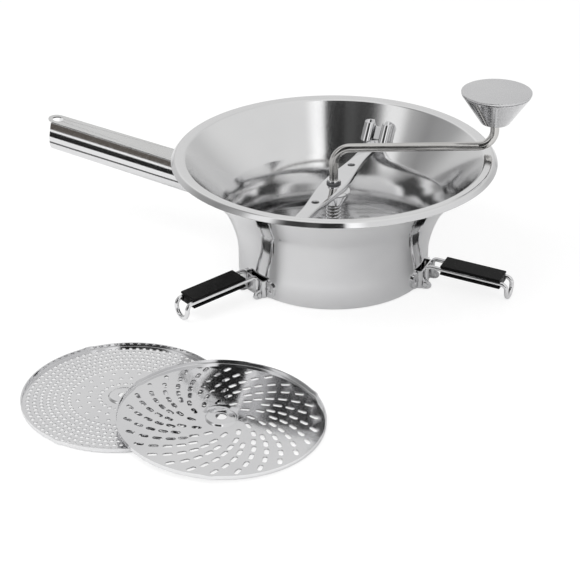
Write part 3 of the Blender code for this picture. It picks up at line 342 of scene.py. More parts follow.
def make_plain(name, light, dark, smooth, rough, bump, scale, shine):
    material, nodes, links = new_material(name)
    shader = nodes["Principled BSDF"]
    shader.inputs["Specular IOR Level"].default_value = shine
    coordinates = nodes.new("ShaderNodeTexCoord").outputs["Object"]
    cloud = add_noise(nodes, links, coordinates, scale / 10, 3)
    mix = nodes.new("ShaderNodeMix")
    mix.data_type = "RGBA"
    mix.inputs["A"].default_value = (*light, 1)
    mix.inputs["B"].default_value = (*dark, 1)
    links.new(map_range(nodes, links, cloud, 0, 1), mix.inputs["Factor"])
    links.new(mix.outputs["Result"], shader.inputs["Base Color"])
    grain = add_noise(nodes, links, coordinates, scale, 4)
    links.new(map_range(nodes, links, grain, smooth, rough), shader.inputs["Roughness"])
    add_bump(nodes, links, shader, grain, bump, 0.1 * MM)
    return material


POLISHED = make_metal("polished_steel", (0.80, 0.80, 0.805), (0.74, 0.74, 0.75), 0.05, 0.10, 0.12)
SPUN = make_metal("spun_steel", (0.82, 0.82, 0.82), (0.77, 0.77, 0.775), 0.10, 0.16, 0.06, (1, 1, 0.08))
BRIGHT = make_metal("bright_wire", (0.82, 0.82, 0.825), (0.76, 0.76, 0.77), 0.07, 0.13, 0.05)
DRAWN = make_metal("drawn_rod", (0.66, 0.65, 0.635), (0.56, 0.55, 0.535), 0.08, 0.15, 0.05)
SATIN = make_metal("satin_steel", (0.74, 0.74, 0.745), (0.66, 0.66, 0.67), 0.26, 0.36, 0.05, (1, 1, 1))
BRUSHED = make_metal(
    "brushed_steel", (0.76, 0.76, 0.755), (0.70, 0.70, 0.695), 0.20, 0.30, 0.04, (0.05, 1, 1)
)
RUBBER = make_plain(
    "black_rubber", (0.004, 0.004, 0.004), (0.007, 0.007, 0.007), 0.16, 0.26, 0.10, 700, 0.06
)
NYLON = make_plain("dark_nylon", (0.08, 0.08, 0.085), (0.11, 0.11, 0.115), 0.40, 0.52, 0.2, 900, 0.4)


# Mesh helpers

def polar(radius, angle, height):
    return Vector((radius * math.cos(angle), radius * math.sin(angle), height))


def circle_points(radius, sides, centre=(0, 0), turn=0):
    points = []
    for side in range(sides):
        angle = turn + 2 * math.pi * side / sides
        points.append((centre[0] + radius * math.cos(angle), centre[1] + radius * math.sin(angle)))
    return points


def bend_path(corners, radii, steps):
    """Round the corners of a path of points; a radius of 0 keeps its corner."""
    path = [Vector(corners[0])]
    for index in range(1, len(corners) - 1):
        corner = Vector(corners[index])
        radius = radii[index - 1]
        if radius == 0:
            path.append(corner)
            continue
        arriving = (corner - Vector(corners[index - 1])).normalized()
        leaving = (Vector(corners[index + 1]) - corner).normalized()
        angle = arriving.angle(leaving)
        start = corner - arriving * radius * math.tan(angle / 2)
        inward = (leaving - arriving * math.cos(angle)).normalized()
        centre = start + inward * radius
        for step in range(steps + 1):
            swing = angle * step / steps
            path.append(centre - inward * radius * math.cos(swing) + arriving * radius * math.sin(swing))
    path.append(Vector(corners[-1]))
    return path


def sheet_outline(middle, thickness):
    """Thicken an open line of 2D points to a closed outline, mitred at its corners."""
    half = thickness / 2
    left = []
    right = []
    for index, point in enumerate(middle):
        here = Vector(point)
        before = Vector(middle[index - 1]) if index > 0 else None
        after = Vector(middle[index + 1]) if index < len(middle) - 1 else None
        arriving = (here - before).normalized() if before is not None else (after - here).normalized()
        leaving = (after - here).normalized() if after is not None else arriving
        normal = Vector((-arriving.y - leaving.y, arriving.x + leaving.x)).normalized()
        reach = half / max(normal.dot(Vector((-arriving.y, arriving.x))), 0.4)
        left.append(tuple(here + normal * reach))
        right.append(tuple(here - normal * reach))
    return left + right[::-1]


def turn_profile(outline, sides, closed=True):
    """Spin a closed outline of (radius, height) points, or an open one whose ends lie on the axis."""
    solid = bmesh.new()
    rings = []
    for side in range(sides):
        angle = 2 * math.pi * side / sides
        rings.append([solid.verts.new(polar(radius, angle, height)) for radius, height in outline])
    last = len(outline) if closed else len(outline) - 1
    for side in range(sides):
        ring = rings[side]
        following = rings[(side + 1) % sides]
        for index in range(last):
            other = (index + 1) % len(outline)
            solid.faces.new((ring[index], following[index], following[other], ring[other]))
    bmesh.ops.remove_doubles(solid, verts=solid.verts, dist=0.0001 * MM)
    return solid


def loft_rings(rings, sheet_ends=False):
    """Skin equal closed rings of points and cap both ends; a bent sheet's ends are capped in strips."""
    solid = bmesh.new()
    built = [[solid.verts.new(point) for point in ring] for ring in rings]
    count = len(rings[0])
    for near, far in zip(built, built[1:]):
        for index in range(count):
            other = (index + 1) % count
            solid.faces.new((near[index], near[other], far[other], far[index]))
    if sheet_ends:
        for index in range(count // 2 - 1):
            strip = (index, index + 1, count - 2 - index, count - 1 - index)
            solid.faces.new([built[0][corner] for corner in reversed(strip)])
            solid.faces.new([built[-1][corner] for corner in strip])
        return solid
    solid.faces.new(built[0][::-1])
    solid.faces.new(built[-1])
    return solid


def inside(point, loop):
    crossings = 0
    for index, (x, y) in enumerate(loop):
        next_x, next_y = loop[(index + 1) % len(loop)]
        if (y > point[1]) != (next_y > point[1]):
            if point[0] < x + (point[1] - y) * (next_x - x) / (next_y - y):
                crossings += 1
    return crossings % 2 == 1


def sheet_body(outline, holes, creases, place):
    """Cut a flat pattern with holes and fold it: place(u, v, side) gives each face's points."""
    points = []
    edges = []
    for loop in [outline] + holes:
        start = len(points)
        points.extend(Vector(point) for point in loop)
        edges.extend((start + index, start + (index + 1) % len(loop)) for index in range(len(loop)))
    for line in creases:
        start = len(points)
        points.extend(Vector(point) for point in line)
        edges.extend((start + index, start + index + 1) for index in range(len(line) - 1))
    flat, _, triangles, _, _, _ = delaunay_2d_cdt(points, edges, [], 0, 0.000001 * MM)
    tree = kdtree.KDTree(len(holes))
    for index, hole in enumerate(holes):
        middle = sum((Vector(point) for point in hole), Vector((0, 0))) / len(hole)
        tree.insert((middle.x, middle.y, 0), index)
    tree.balance()
    kept = []
    for triangle in triangles:
        middle = sum((flat[index] for index in triangle), Vector((0, 0))) / 3
        near = [found[1] for found in tree.find_n((middle.x, middle.y, 0), 3)] if holes else []
        if inside(middle, outline) and not any(inside(middle, holes[index]) for index in near):
            kept.append(triangle)
    return thicken(flat, kept, place)


def thicken(flat, triangles, place):
    solid = bmesh.new()
    used = sorted({index for triangle in triangles for index in triangle})
    upper = {index: solid.verts.new(place(flat[index].x, flat[index].y, 1)) for index in used}
    lower = {index: solid.verts.new(place(flat[index].x, flat[index].y, -1)) for index in used}
    borders = {}
    for triangle in triangles:
        solid.faces.new([upper[index] for index in triangle])
        solid.faces.new([lower[index] for index in reversed(triangle)])
        for start, end in zip(triangle, list(triangle[1:]) + [triangle[0]]):
            if (end, start) in borders:
                del borders[(end, start)]
            else:
                borders[(start, end)] = True
    for start, end in borders:
        solid.faces.new((upper[end], upper[start], lower[start], lower[end]))
    return solid


def show(name, solid, body, material, nodes=(), soften=EDGE_SOFT, move=AXIS, sharp_deg=32):
    """Turn a bmesh into a shown piece on a body, standing for CAD nodes."""
    bmesh.ops.recalc_face_normals(solid, faces=solid.faces)
    bmesh.ops.translate(solid, vec=move, verts=solid.verts)
    mesh = bpy.data.meshes.new(name)
    solid.to_mesh(mesh)
    solid.free()
    mesh.shade_smooth()
    mesh.materials.append(material)
    piece = bpy.data.objects.new(name, mesh)
    bpy.context.scene.collection.objects.link(piece)
    if soften:
        bevel = piece.modifiers.new("soft_edges", "BEVEL")
        bevel.width = soften
        bevel.segments = 2
        bevel.limit_method = "ANGLE"
        bevel.angle_limit = math.radians(sharp_deg)
        bevel.use_clamp_overlap = True
        bevel.harden_normals = True
    else:
        mesh.set_sharp_from_angle(angle=math.radians(sharp_deg))
    return attach(piece, body, nodes)


def show_tube(name, path, radius, body, material, nodes=(), move=AXIS, sides=6):
    curve = bpy.data.curves.new(name, "CURVE")
    curve.dimensions = "3D"
    curve.bevel_depth = radius
    curve.bevel_resolution = sides
    curve.use_fill_caps = True
    spline = curve.splines.new("POLY")
    spline.points.add(len(path) - 1)
    for point, target in zip(spline.points, path):
        point.co = (*(Vector(target) + move), 1)
    spline.use_smooth = True
    curve.materials.append(material)
    piece = bpy.data.objects.new(name, curve)
    bpy.context.scene.collection.objects.link(piece)
    return attach(piece, body, nodes)


def attach(piece, body, nodes):
    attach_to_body(piece, body)
    if nodes:
        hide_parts(*nodes)
    return piece


# Bowl

def flare_line():
    low = FOOT_RADIUS - HALF_SHELL
    pulls = (
        Vector((low, CYLINDER_HEIGHT)),
        Vector((low, CYLINDER_HEIGHT + FLARE_LOWER_PULL)),
        Vector((
            FLARE_TOP_RADIUS - FLARE_UPPER_LEAN_SHARE * FLARE_UPPER_PULL,
            FLARE_TOP_HEIGHT - FLARE_UPPER_PULL,
        )),
        Vector((FLARE_TOP_RADIUS, FLARE_TOP_HEIGHT)),
    )
    line = []
    for step in range(FLARE_STEPS + 1):
        share = step / FLARE_STEPS
        rest = 1 - share
        point = pulls[0] * rest ** 3
        point += pulls[1] * 3 * share * rest ** 2
        point += pulls[2] * 3 * share ** 2 * rest
        point += pulls[3] * share ** 3
        line.append(point)
    return line


def wall_radius(height, offset):
    """Radius of the shell's middle line at a height, offset square to it."""
    line = flare_line() + [Vector((CREASE_RADIUS, CREASE_HEIGHT))]
    if height <= CYLINDER_HEIGHT:
        return FOOT_RADIUS - HALF_SHELL + offset
    for low, high in zip(line, line[1:]):
        if height <= high.y or high is line[-1]:
            lean = (high.x - low.x) / (high.y - low.y)
            return low.x + (height - low.y) * lean + offset * math.hypot(lean, 1)


def flat_path(corners, radii, steps=BEND_STEPS):
    """Round a path of 2D points."""
    path = bend_path([(x, y, 0) for x, y in corners], radii, steps)
    return [(point.x, point.y) for point in path]


def build_bowl():
    wall = FOOT_RADIUS - HALF_SHELL
    foot = [(SEAT_RADIUS, HALF_SHELL), (wall, HALF_SHELL), (wall, CYLINDER_HEIGHT)]
    low = flat_path(foot, [FOOT_CORNER])
    rim = flat_path(
        [(FLARE_TOP_RADIUS, FLARE_TOP_HEIGHT), (CREASE_RADIUS, CREASE_HEIGHT), (RIM_RADIUS, RIM_HEIGHT),
         (LIP_RADIUS, LIP_HEIGHT)],
        [CREASE_BEND, RIM_BEND],
        RIM_STEPS,
    )
    middle = low[:-1] + [tuple(point) for point in flare_line()] + rim[1:]
    solid = turn_profile(sheet_outline(middle, SHELL), BOWL_SIDES)
    bowl = show("bowl", solid, "mill", POLISHED, ["bowl_shell"])
    bowl.data.materials.append(SPUN)
    # The outside below the crease mirrors the legs, so it is polished and the rest spun
    for face in bowl.data.polygons:
        inward = face.normal.dot(face.center - AXIS - Vector((0, 0, face.center.z))) < 0
        if inward or face.center.z > CREASE_HEIGHT:
            face.material_index = 1


# Handle

def handle_point(along, across, down):
    x = -(along * math.cos(HANDLE_RISE) + down * math.sin(HANDLE_RISE))
    z = HANDLE_FOOT + along * math.sin(HANDLE_RISE) - down * math.cos(HANDLE_RISE)
    return Vector((x, across, z))


def handle_start(across, down):
    along = FLARE_TOP_RADIUS
    for _ in range(12):
        point = handle_point(along, across, down)
        along += wall_radius(point.z, MOUNT_OFFSET + ROOT_GAP) - math.hypot(point.x, point.y)
    return along


def handle_size(along, root_size, tip_size):
    share = (along - FLARE_TOP_RADIUS) / (EYE_ALONG - FLARE_TOP_RADIUS)
    return root_size + (tip_size - root_size) * share


def channel_section():
    wall = []
    for step in range(CHANNEL_WALL_STEPS + 1):
        angle = math.pi / 2 * step / CHANNEL_WALL_STEPS
        width = 1 + CHANNEL_BULGE * math.sin(angle)
        wall.append((width, CHANNEL_WALL_SHARE * step / CHANNEL_WALL_STEPS))
    line = [(-across, down) for across, down in wall]
    for step in range(1, CHANNEL_STEPS):
        angle = math.pi * step / CHANNEL_STEPS
        drop = CHANNEL_WALL_SHARE + (1 - CHANNEL_WALL_SHARE) * math.sin(angle)
        line.append((-math.cos(angle) * (1 + CHANNEL_BULGE), drop))
    return line + wall[::-1]


def build_handle():
    plate_gap = HANDLE_SHEET
    stations = []
    for station in range(9):
        share = station / 8
        rough = FLARE_TOP_RADIUS + (CHANNEL_END - FLARE_TOP_RADIUS) * share
        half_width = (handle_size(rough, ROOT_WIDTH, TIP_WIDTH) - HANDLE_SHEET) / 2
        depth = handle_size(rough, ROOT_DEPTH, TIP_DEPTH) - plate_gap - HANDLE_SHEET / 2
        middle = [(across * half_width, down * depth) for across, down in channel_section()]
        ring = []
        for across, down in sheet_outline(middle, HANDLE_SHEET):
            start = handle_start(across, down + plate_gap)
            along = start + (CHANNEL_END - start) * share
            ring.append(handle_point(along, across, down + plate_gap))
        stations.append(ring)
    show("handle_trough", loft_rings(stations, sheet_ends=True), "mill", POLISHED, ["handle_channel"])
    start = handle_start(0, 0)
    end_radius = TIP_WIDTH / 2
    outline = [(start, -ROOT_WIDTH / 2)]
    for step in range(41):
        angle = math.pi * step / 40 - math.pi / 2
        outline.append((EYE_ALONG + end_radius * math.cos(angle), end_radius * math.sin(angle)))
    outline.append((start, ROOT_WIDTH / 2))
    eye = circle_points(EYE_RADIUS, 48, (EYE_ALONG, 0))

    def place(along, across, side):
        return handle_point(along, across, 0 if side > 0 else HANDLE_SHEET)

    show("handle_lid", sheet_body(outline, [eye], [], place), "mill", BRUSHED, ["handle_top_plate"])
    build_mount()


def build_mount():
    half_angle = MOUNT_WIDTH / 2 / FLARE_TOP_RADIUS
    rings = []
    for step in range(MOUNT_STEPS + 1):
        height = MOUNT_LOW + (MOUNT_HIGH - MOUNT_LOW) * step / MOUNT_STEPS
        inner = []
        outer = []
        for part in range(MOUNT_STEPS + 1):
            angle = math.pi - half_angle + 2 * half_angle * part / MOUNT_STEPS
            inner.append(polar(wall_radius(height, HALF_SHELL), angle, height))
            outer.append(polar(wall_radius(height, MOUNT_OFFSET), angle, height))
        rings.append(inner + outer[::-1])
    show("handle_saddle", loft_rings(rings), "mill", POLISHED, ["handle_mount"], soften=0.4 * MM)


# Bridge

def bar_half_width(along):
    if abs(along) >= BAR_LEAF_HALF_LENGTH:
        return BAR_END_HALF
    swell = (1 + math.cos(math.pi * along / BAR_LEAF_HALF_LENGTH)) / 2
    return BAR_END_HALF + (BAR_MID_HALF - BAR_END_HALF) * swell


def build_bar():
    wall = wall_radius(BAR_TOP - BAR_SHEET / 2 - BAR_DROP, -HALF_SHELL - SEAT_GAP)
    reach = math.sqrt(wall ** 2 - BAR_END_HALF ** 2) - 0.3 * MM
    stations = [reach * (station / BAR_STATIONS - 1) for station in range(2 * BAR_STATIONS + 1)]
    # Across the pattern, 1 is the start of the edge's bend, 2 its end and 3 the edge of the drop
    outline = [(along, -3 * BAR_MID_HALF) for along in stations]
    outline += [(along, 3 * BAR_MID_HALF) for along in reversed(stations)]
    shares = [1 + step / BEND_STEPS for step in range(BEND_STEPS + 1)]
    creases = [
        [(along, sign * share * BAR_MID_HALF) for along in stations]
        for sign in (-1, 1) for share in shares
    ]
    holes = []
    bores = (
        (-BAR_HOLE_REACH, BAR_HOLE_RADIUS),
        (0, BUSHING_RADIUS + PIN_GAP),
        (BAR_HOLE_REACH, BAR_HOLE_RADIUS),
    )
    for centre, radius in bores:
        hole = []
        for along, across in circle_points(radius, 36, (centre, 0)):
            flat = bar_half_width(along) - BAR_BEND
            hole.append((along, across * BAR_MID_HALF / flat))
        holes.append(hole)
    middle = BAR_TOP - BAR_SHEET / 2

    def place(along, across, side):
        half = side * BAR_SHEET / 2
        flat = bar_half_width(along) - BAR_BEND
        share = abs(across) / BAR_MID_HALF
        sign = math.copysign(1, across)
        if share <= 1:
            return Vector((-sign * share * flat, along, middle + half))
        radius = BAR_BEND - BAR_SHEET / 2 + half
        turn = min(share - 1, 1) * math.pi / 2
        x = flat + radius * math.sin(turn)
        z = middle - (BAR_BEND - BAR_SHEET / 2) + radius * math.cos(turn)
        if share > 2:
            z -= (share - 2) * (BAR_DROP - BAR_BEND + BAR_SHEET / 2)
        return Vector((-sign * x, along, z))

    solid = sheet_body(outline, holes, creases, place)
    show("bar", solid, "bridge", POLISHED, ["bridge_bar"], soften=0.2 * MM)


def ring_outline(inner, outer, floor, height):
    return [(inner, floor), (outer, floor), (outer, floor + height), (inner, floor + height)]


def build_bridge_fittings():
    bushing = [
        (BORE, CUP_TOP),
        (BUSHING_RADIUS, CUP_TOP),
        (BUSHING_RADIUS, BAR_TOP),
        (BUSHING_FLANGE_RADIUS, BAR_TOP),
        (BUSHING_FLANGE_RADIUS, BUSHING_TOP),
        (BORE, BUSHING_TOP),
    ]
    show("bushing", turn_profile(bushing, FITTING_SIDES), "bridge", NYLON, ["bridge_bushing"])
    middle = flat_path(
        [(BORE + SLIDE_GAP, CUP_TOP - CUP_SHEET / 2),
         (CUP_TOP_RADIUS - CUP_SHEET / 2, CUP_TOP - CUP_SHEET / 2),
         (CUP_FOOT_RADIUS - CUP_SHEET / 2, CUP_TOP - CUP_HEIGHT)],
        [CUP_BEND],
    )
    solid = turn_profile(sheet_outline(middle, CUP_SHEET), FITTING_SIDES)
    show("cup", solid, "bridge", POLISHED, ["spring_cup"])


def build_catch(name, sign, node):
    centre = CATCH_HALF - CATCH_CURL - CATCH_SHEET / 2
    right = [(centre * step / CATCH_FLAT_STEPS, 0) for step in range(1, CATCH_FLAT_STEPS)]
    for step in range(CATCH_STEPS + 1):
        angle = math.radians(CATCH_CURL_DEG) * step / CATCH_STEPS - math.pi / 2
        right.append((centre + CATCH_CURL * math.cos(angle), CATCH_CURL * (1 + math.sin(angle))))
    left = [(-across, inwards) for across, inwards in reversed(right)]
    section = sheet_outline(left + right, CATCH_SHEET)
    spread = math.hypot((CREASE_RADIUS - FLARE_TOP_RADIUS) / (CREASE_HEIGHT - FLARE_TOP_HEIGHT), 1)
    rings = []
    levels = ((BAR_TOP + SEAT_GAP, 0), ((BAR_TOP + CATCH_TOP) / 2, 0), (CATCH_TOP, CATCH_NOTCH))
    for level, notch in levels:
        ring = []
        for across, inwards in section:
            flat = inwards < CATCH_SHEET
            dip = max(1 - (across / CATCH_NOTCH_HALF) ** CATCH_NOTCH_POWER, 0) if flat else 0
            height = level - notch * dip
            wall = wall_radius(height, -HALF_SHELL - SEAT_GAP)
            back = math.sqrt(wall ** 2 - CATCH_HALF ** 2) - CATCH_SHEET / 2 * spread
            ring.append(Vector((across, sign * (back - inwards), height)))
        rings.append(ring)
    show(name, loft_rings(rings, sheet_ends=True), "mill", POLISHED, [node])


# Crank, blade, knob and spring

def build_crank():
    end = polar(ARM_REACH, ARM_AZIMUTH, 0)
    corners = [(0, 0, ROD_FOOT), (0, 0, ARM_HEIGHT), (end.x, end.y, ARM_HEIGHT), (end.x, end.y, ROD_HEAD)]
    path = bend_path(corners, (ARM_BEND, ARM_BEND), ROD_STEPS)
    show_tube("crank", path, ROD_RADIUS, "crank", DRAWN, ["crank_rod"], sides=14)
    collar = ring_outline(BORE - PIN_GAP, COLLAR_RADIUS, BUSHING_TOP + SEAT_GAP, COLLAR_LENGTH)
    show("collar", turn_profile(collar, FITTING_SIDES), "crank", POLISHED, ["shaft_collar"], soften=0.5 * MM)
    hub = ring_outline(BORE - PIN_GAP, HUB_RADIUS, BLADE_FLOOR, HUB_TOP - BLADE_FLOOR)
    show("hub", turn_profile(hub, FITTING_SIDES), "crank", POLISHED, ["blade_hub"], soften=0.5 * MM)
    retainer = ring_outline(BORE - PIN_GAP, RETAINER_RADIUS, RETAINER_FLOOR, RETAINER_THICKNESS)
    solid = turn_profile(retainer, FITTING_SIDES)
    show("retainer", solid, "crank", POLISHED, ["knob_retainer"], move=AXIS + end)
    build_blade()


def build_blade():
    inner = HUB_RADIUS
    rings = []
    for step in range(BLADE_STEPS + 1):
        share = step / BLADE_STEPS
        angle = BLADE_START + BLADE_SPAN * share
        climb = max(share - BLADE_FLAT_SHARE, 0) / (1 - BLADE_FLAT_SHARE)
        floor = BLADE_FLOOR + BLADE_RISE * climb ** BLADE_RAMP_POWER
        lower = []
        upper = []
        for ring in range(BLADE_RINGS + 1):
            radius = inner + (BLADE_RADIUS - inner) * ring / BLADE_RINGS
            lower.append(polar(radius, angle, floor))
            upper.append(polar(radius, angle, floor + BLADE_SHEET))
        rings.append(lower + upper[::-1])
    show("blade", loft_rings(rings), "crank", POLISHED, ["agitator_blade"])


def build_knob():
    place = AXIS + polar(ARM_REACH, ARM_AZIMUTH, 0)
    wall = KNOB_SHEET / 2
    middle = flat_path(
        [(KNOB_BUSH_RADIUS + PIN_GAP, KNOB_FOOT + wall), (KNOB_FOOT_RADIUS - wall, KNOB_FOOT + wall),
         (KNOB_EDGE_RADIUS - wall, KNOB_EDGE_HEIGHT - wall)],
        [KNOB_CORNER],
    )
    solid = turn_profile(sheet_outline(middle, KNOB_SHEET), KNOB_SIDES)
    show("knob_cone", solid, "knob", POLISHED, ["knob_shell"], move=place)
    floor = KNOB_EDGE_HEIGHT
    edge = KNOB_EDGE_RADIUS + CAP_OVERHANG
    top = floor + SEAT_GAP + CAP_THICKNESS
    cap = [(0, floor), (edge - CAP_ROUND, floor)]
    for step in range(CAP_STEPS + 1):
        angle = math.pi / 2 * step / CAP_STEPS
        across = edge - CAP_ROUND + CAP_ROUND * math.sin(angle)
        cap.append((across, floor + CAP_ROUND - CAP_ROUND * math.cos(angle)))
    for step in range(CAP_STEPS + 1):
        angle = math.pi / 2 * step / CAP_STEPS
        across = edge - CAP_ROUND + CAP_ROUND * math.cos(angle)
        cap.append((across, top - CAP_ROUND + CAP_ROUND * math.sin(angle)))
    cap.append((0, top))
    show("knob_lid", turn_profile(cap, KNOB_SIDES, False), "knob", SATIN, ["knob_cap"], soften=0, move=place)
    bush = ring_outline(BORE, KNOB_BUSH_RADIUS, KNOB_FOOT, KNOB_BUSH_TOP - KNOB_FOOT)
    show("knob_sleeve", turn_profile(bush, FITTING_SIDES), "knob", NYLON, ["knob_bush"], move=place)


def build_spring():
    foot = SPRING_FOOT + SPRING_WIRE
    head = SPRING_HEAD - SPRING_WIRE
    count = SPRING_CURLS * SPRING_POINTS
    path = [Vector((SPRING_RADIUS, 0, SPRING_FOOT))]
    for index in range(count + 1):
        angle = 2 * math.pi * index / SPRING_POINTS
        path.append(polar(SPRING_RADIUS, angle, foot + (head - foot) * index / count))
    path.append(Vector((SPRING_RADIUS, 0, SPRING_HEAD)))
    show_tube("spring", path, SPRING_WIRE / 2, "lift", BRIGHT, ["pressure_spring"], sides=5)
    washer = ring_outline(BORE, WASHER_RADIUS, WASHER_FLOOR, WASHER_THICKNESS)
    show("washer", turn_profile(washer, FITTING_SIDES), "lift", POLISHED, ["thrust_washer"])


# Discs

def ring_places(zones):
    """Centres on circles; within a zone each circle is turned half a step from the last."""
    places = []
    for first, step, rings, count in zones:
        for ring in range(rings):
            for index in range(count):
                places.append((first + step * ring, 2 * math.pi * (index + ring / 2) / count))
    return places


def round_holes(zones, radius):
    holes = []
    for reach, angle in ring_places(zones):
        centre = polar(reach, angle, 0)
        holes.append(circle_points(radius, HOLE_SIDES, (centre.x, centre.y), angle))
    return holes


def slot_holes(zones):
    holes = []
    straight = SLOT_HALF_LENGTH - SLOT_HALF_WIDTH
    for reach, angle in ring_places(zones):
        centre = polar(reach, angle, 0)
        lean = angle + SLOT_TURN
        hole = []
        for end in (0, math.pi):
            middle = centre + polar(straight, lean + end, 0)
            for step in range(7):
                corner = middle + polar(SLOT_HALF_WIDTH, lean + end - math.pi / 2 + math.pi * step / 6, 0)
                hole.append((corner.x, corner.y))
        holes.append(hole)
    return holes


def disc_solid(holes, bumps, boss):
    """A plate with a bent-up rim, a raised boss and bumps that locate it in the bowl's foot."""
    bend = DISC_BEND - DISC_SHEET / 2
    flat_edge = DISC_RADIUS - DISC_BEND
    arc = bend * math.pi / 2
    wall = DISC_RIM - DISC_BEND
    edge = flat_edge + arc + wall
    circles = [flat_edge + arc * step / BEND_STEPS for step in range(BEND_STEPS + 1)]
    shares = [step / BEND_STEPS - 0.5 for step in range(BEND_STEPS + 1)]
    lines = [BOSS_RADIUS + BOSS_SLOPE * share for share in shares] if boss else []
    creases = []
    for radius in circles + lines:
        ring = circle_points(radius, DISC_SIDES)
        creases.append(ring + ring[:1])

    def place(x, y, side):
        half = side * DISC_SHEET / 2
        radius = math.hypot(x, y)
        angle = math.atan2(y, x)
        height = DISC_SHEET / 2 + half
        if boss:
            slope = (BOSS_RADIUS + BOSS_SLOPE / 2 - radius) / BOSS_SLOPE
            share = min(max(slope, 0), 1)
            height += boss * share * share * (3 - 2 * share)
        if radius <= flat_edge:
            return Vector((x, y, height))
        turn = min((radius - flat_edge) / arc, 1) * math.pi / 2
        reach = flat_edge + (bend - half) * math.sin(turn)
        height = DISC_SHEET / 2 + bend - (bend - half) * math.cos(turn)
        height += max(radius - flat_edge - arc, 0)
        for bump in bumps:
            away = abs((angle - math.radians(bump) + math.pi) % (2 * math.pi) - math.pi)
            if away < BUMP_HALF:
                swell = (1 + math.cos(math.pi * away / BUMP_HALF)) / 2
                reach += BUMP_REACH * swell * min(turn, 1)
        return polar(reach, angle, height)

    bore = circle_points(DISC_BORE, 36)
    return sheet_body(circle_points(edge, DISC_SIDES), [bore] + holes, creases, place)


def build_discs():
    medium = disc_solid(round_holes(MEDIUM_ZONES, MEDIUM_HOLE), (), 0)
    place = AXIS + Vector((0, 0, DISC_FLOOR))
    show("disc_in_bowl", medium, "mill", POLISHED, ["disc_medium"], soften=0, move=place)
    low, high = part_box("disc_fine")
    place = Vector(((low[0] + high[0]) / 2, (low[1] + high[1]) / 2, low[2]))
    fine = disc_solid(round_holes(FINE_ZONES, FINE_HOLE), FINE_BUMPS_DEG, BOSS_RISE)
    show("disc_round_holes", fine, "fine_disc", POLISHED, ["disc_fine"], soften=0, move=place)
    # The coarse disc leans on the fine one's rim
    between = middle_of("disc_coarse") - middle_of("disc_fine")
    between.z = 0
    tilt = math.asin((DISC_RIM + SEAT_GAP) / between.length)
    axis = Vector((-between.y, between.x, 0))
    coarse = disc_solid(slot_holes(SLOT_ZONES), COARSE_BUMPS_DEG, BOSS_RISE)
    bmesh.ops.rotate(coarse, cent=(0, 0, 0), matrix=Matrix.Rotation(tilt, 3, axis), verts=coarse.verts)
    centre = middle_of("disc_coarse")
    lift = Vector((centre.x, centre.y, DISC_RADIUS * math.sin(tilt)))
    show("disc_slots", coarse, "coarse_disc", POLISHED, ["disc_coarse"], soften=0, move=lift)


# Legs

def leg_path():
    hook_top = KNEE_HEIGHT - LEG_FALL * (HOOK_REACH - PIVOT_REACH)
    bow_height = WIRE_RADIUS + LEG_HALF_WIDTH
    corners = [
        (PIVOT_REACH, EAR_SPAN + EAR_SHEET + PIN_PROUD, PIVOT_HEIGHT),
        (PIVOT_REACH, LEG_HALF_WIDTH, PIVOT_HEIGHT),
        (PIVOT_REACH, LEG_HALF_WIDTH, KNEE_HEIGHT),
        (HOOK_REACH, LEG_HALF_WIDTH, hook_top),
        (HOOK_REACH, LEG_HALF_WIDTH, bow_height),
    ]
    hook_bend = (hook_top - bow_height) * HOOK_BEND_SHARE
    side = bend_path(corners, (WIRE_RADIUS, KNEE_BEND, hook_bend), WIRE_STEPS)
    bow = []
    for step in range(1, BOW_STEPS):
        angle = math.pi * step / BOW_STEPS
        across = LEG_HALF_WIDTH * math.cos(angle)
        bow.append(Vector((HOOK_REACH, across, bow_height - LEG_HALF_WIDTH * math.sin(angle))))
    return side + bow + [Vector((point.x, -point.y, point.z)) for point in reversed(side)]


def turned(solid, azimuth):
    bmesh.ops.rotate(solid, cent=(0, 0, 0), matrix=Matrix.Rotation(azimuth, 3, "Z"), verts=solid.verts)
    return solid


def pad_solid(azimuth):
    groove = WIRE_RADIUS + SEAT_GAP
    edge = groove + PAD_FLANGE
    core = LEG_HALF_WIDTH - WIRE_RADIUS - SEAT_GAP
    wide = PAD_HALF_WIDTH
    upper = [(core, groove), (wide, groove), (wide, edge), (-wide, edge), (-wide, groove), (-core, groove)]
    section = upper + [(-across, -height) for across, height in upper]
    rings = []
    for reach in (PAD_START, PAD_START + PAD_LENGTH):
        height = KNEE_HEIGHT - LEG_FALL * (reach - PIVOT_REACH)
        rings.append([Vector((reach, across, height + up)) for across, up in section])
    return turned(loft_rings(rings), azimuth)


def build_leg(letter, azimuth):
    turn = Matrix.Rotation(azimuth, 3, "Z")
    path = [turn @ point for point in leg_path()]
    show_tube("wire_" + letter, path, WIRE_RADIUS, "leg_" + letter, BRIGHT, ["leg_wire_" + letter], sides=8)
    solid = pad_solid(azimuth)
    pad = show("pad_" + letter, solid, "leg_" + letter, RUBBER, ["leg_pad_" + letter], soften=PAD_ROUND)
    pad.modifiers["soft_edges"].segments = 4


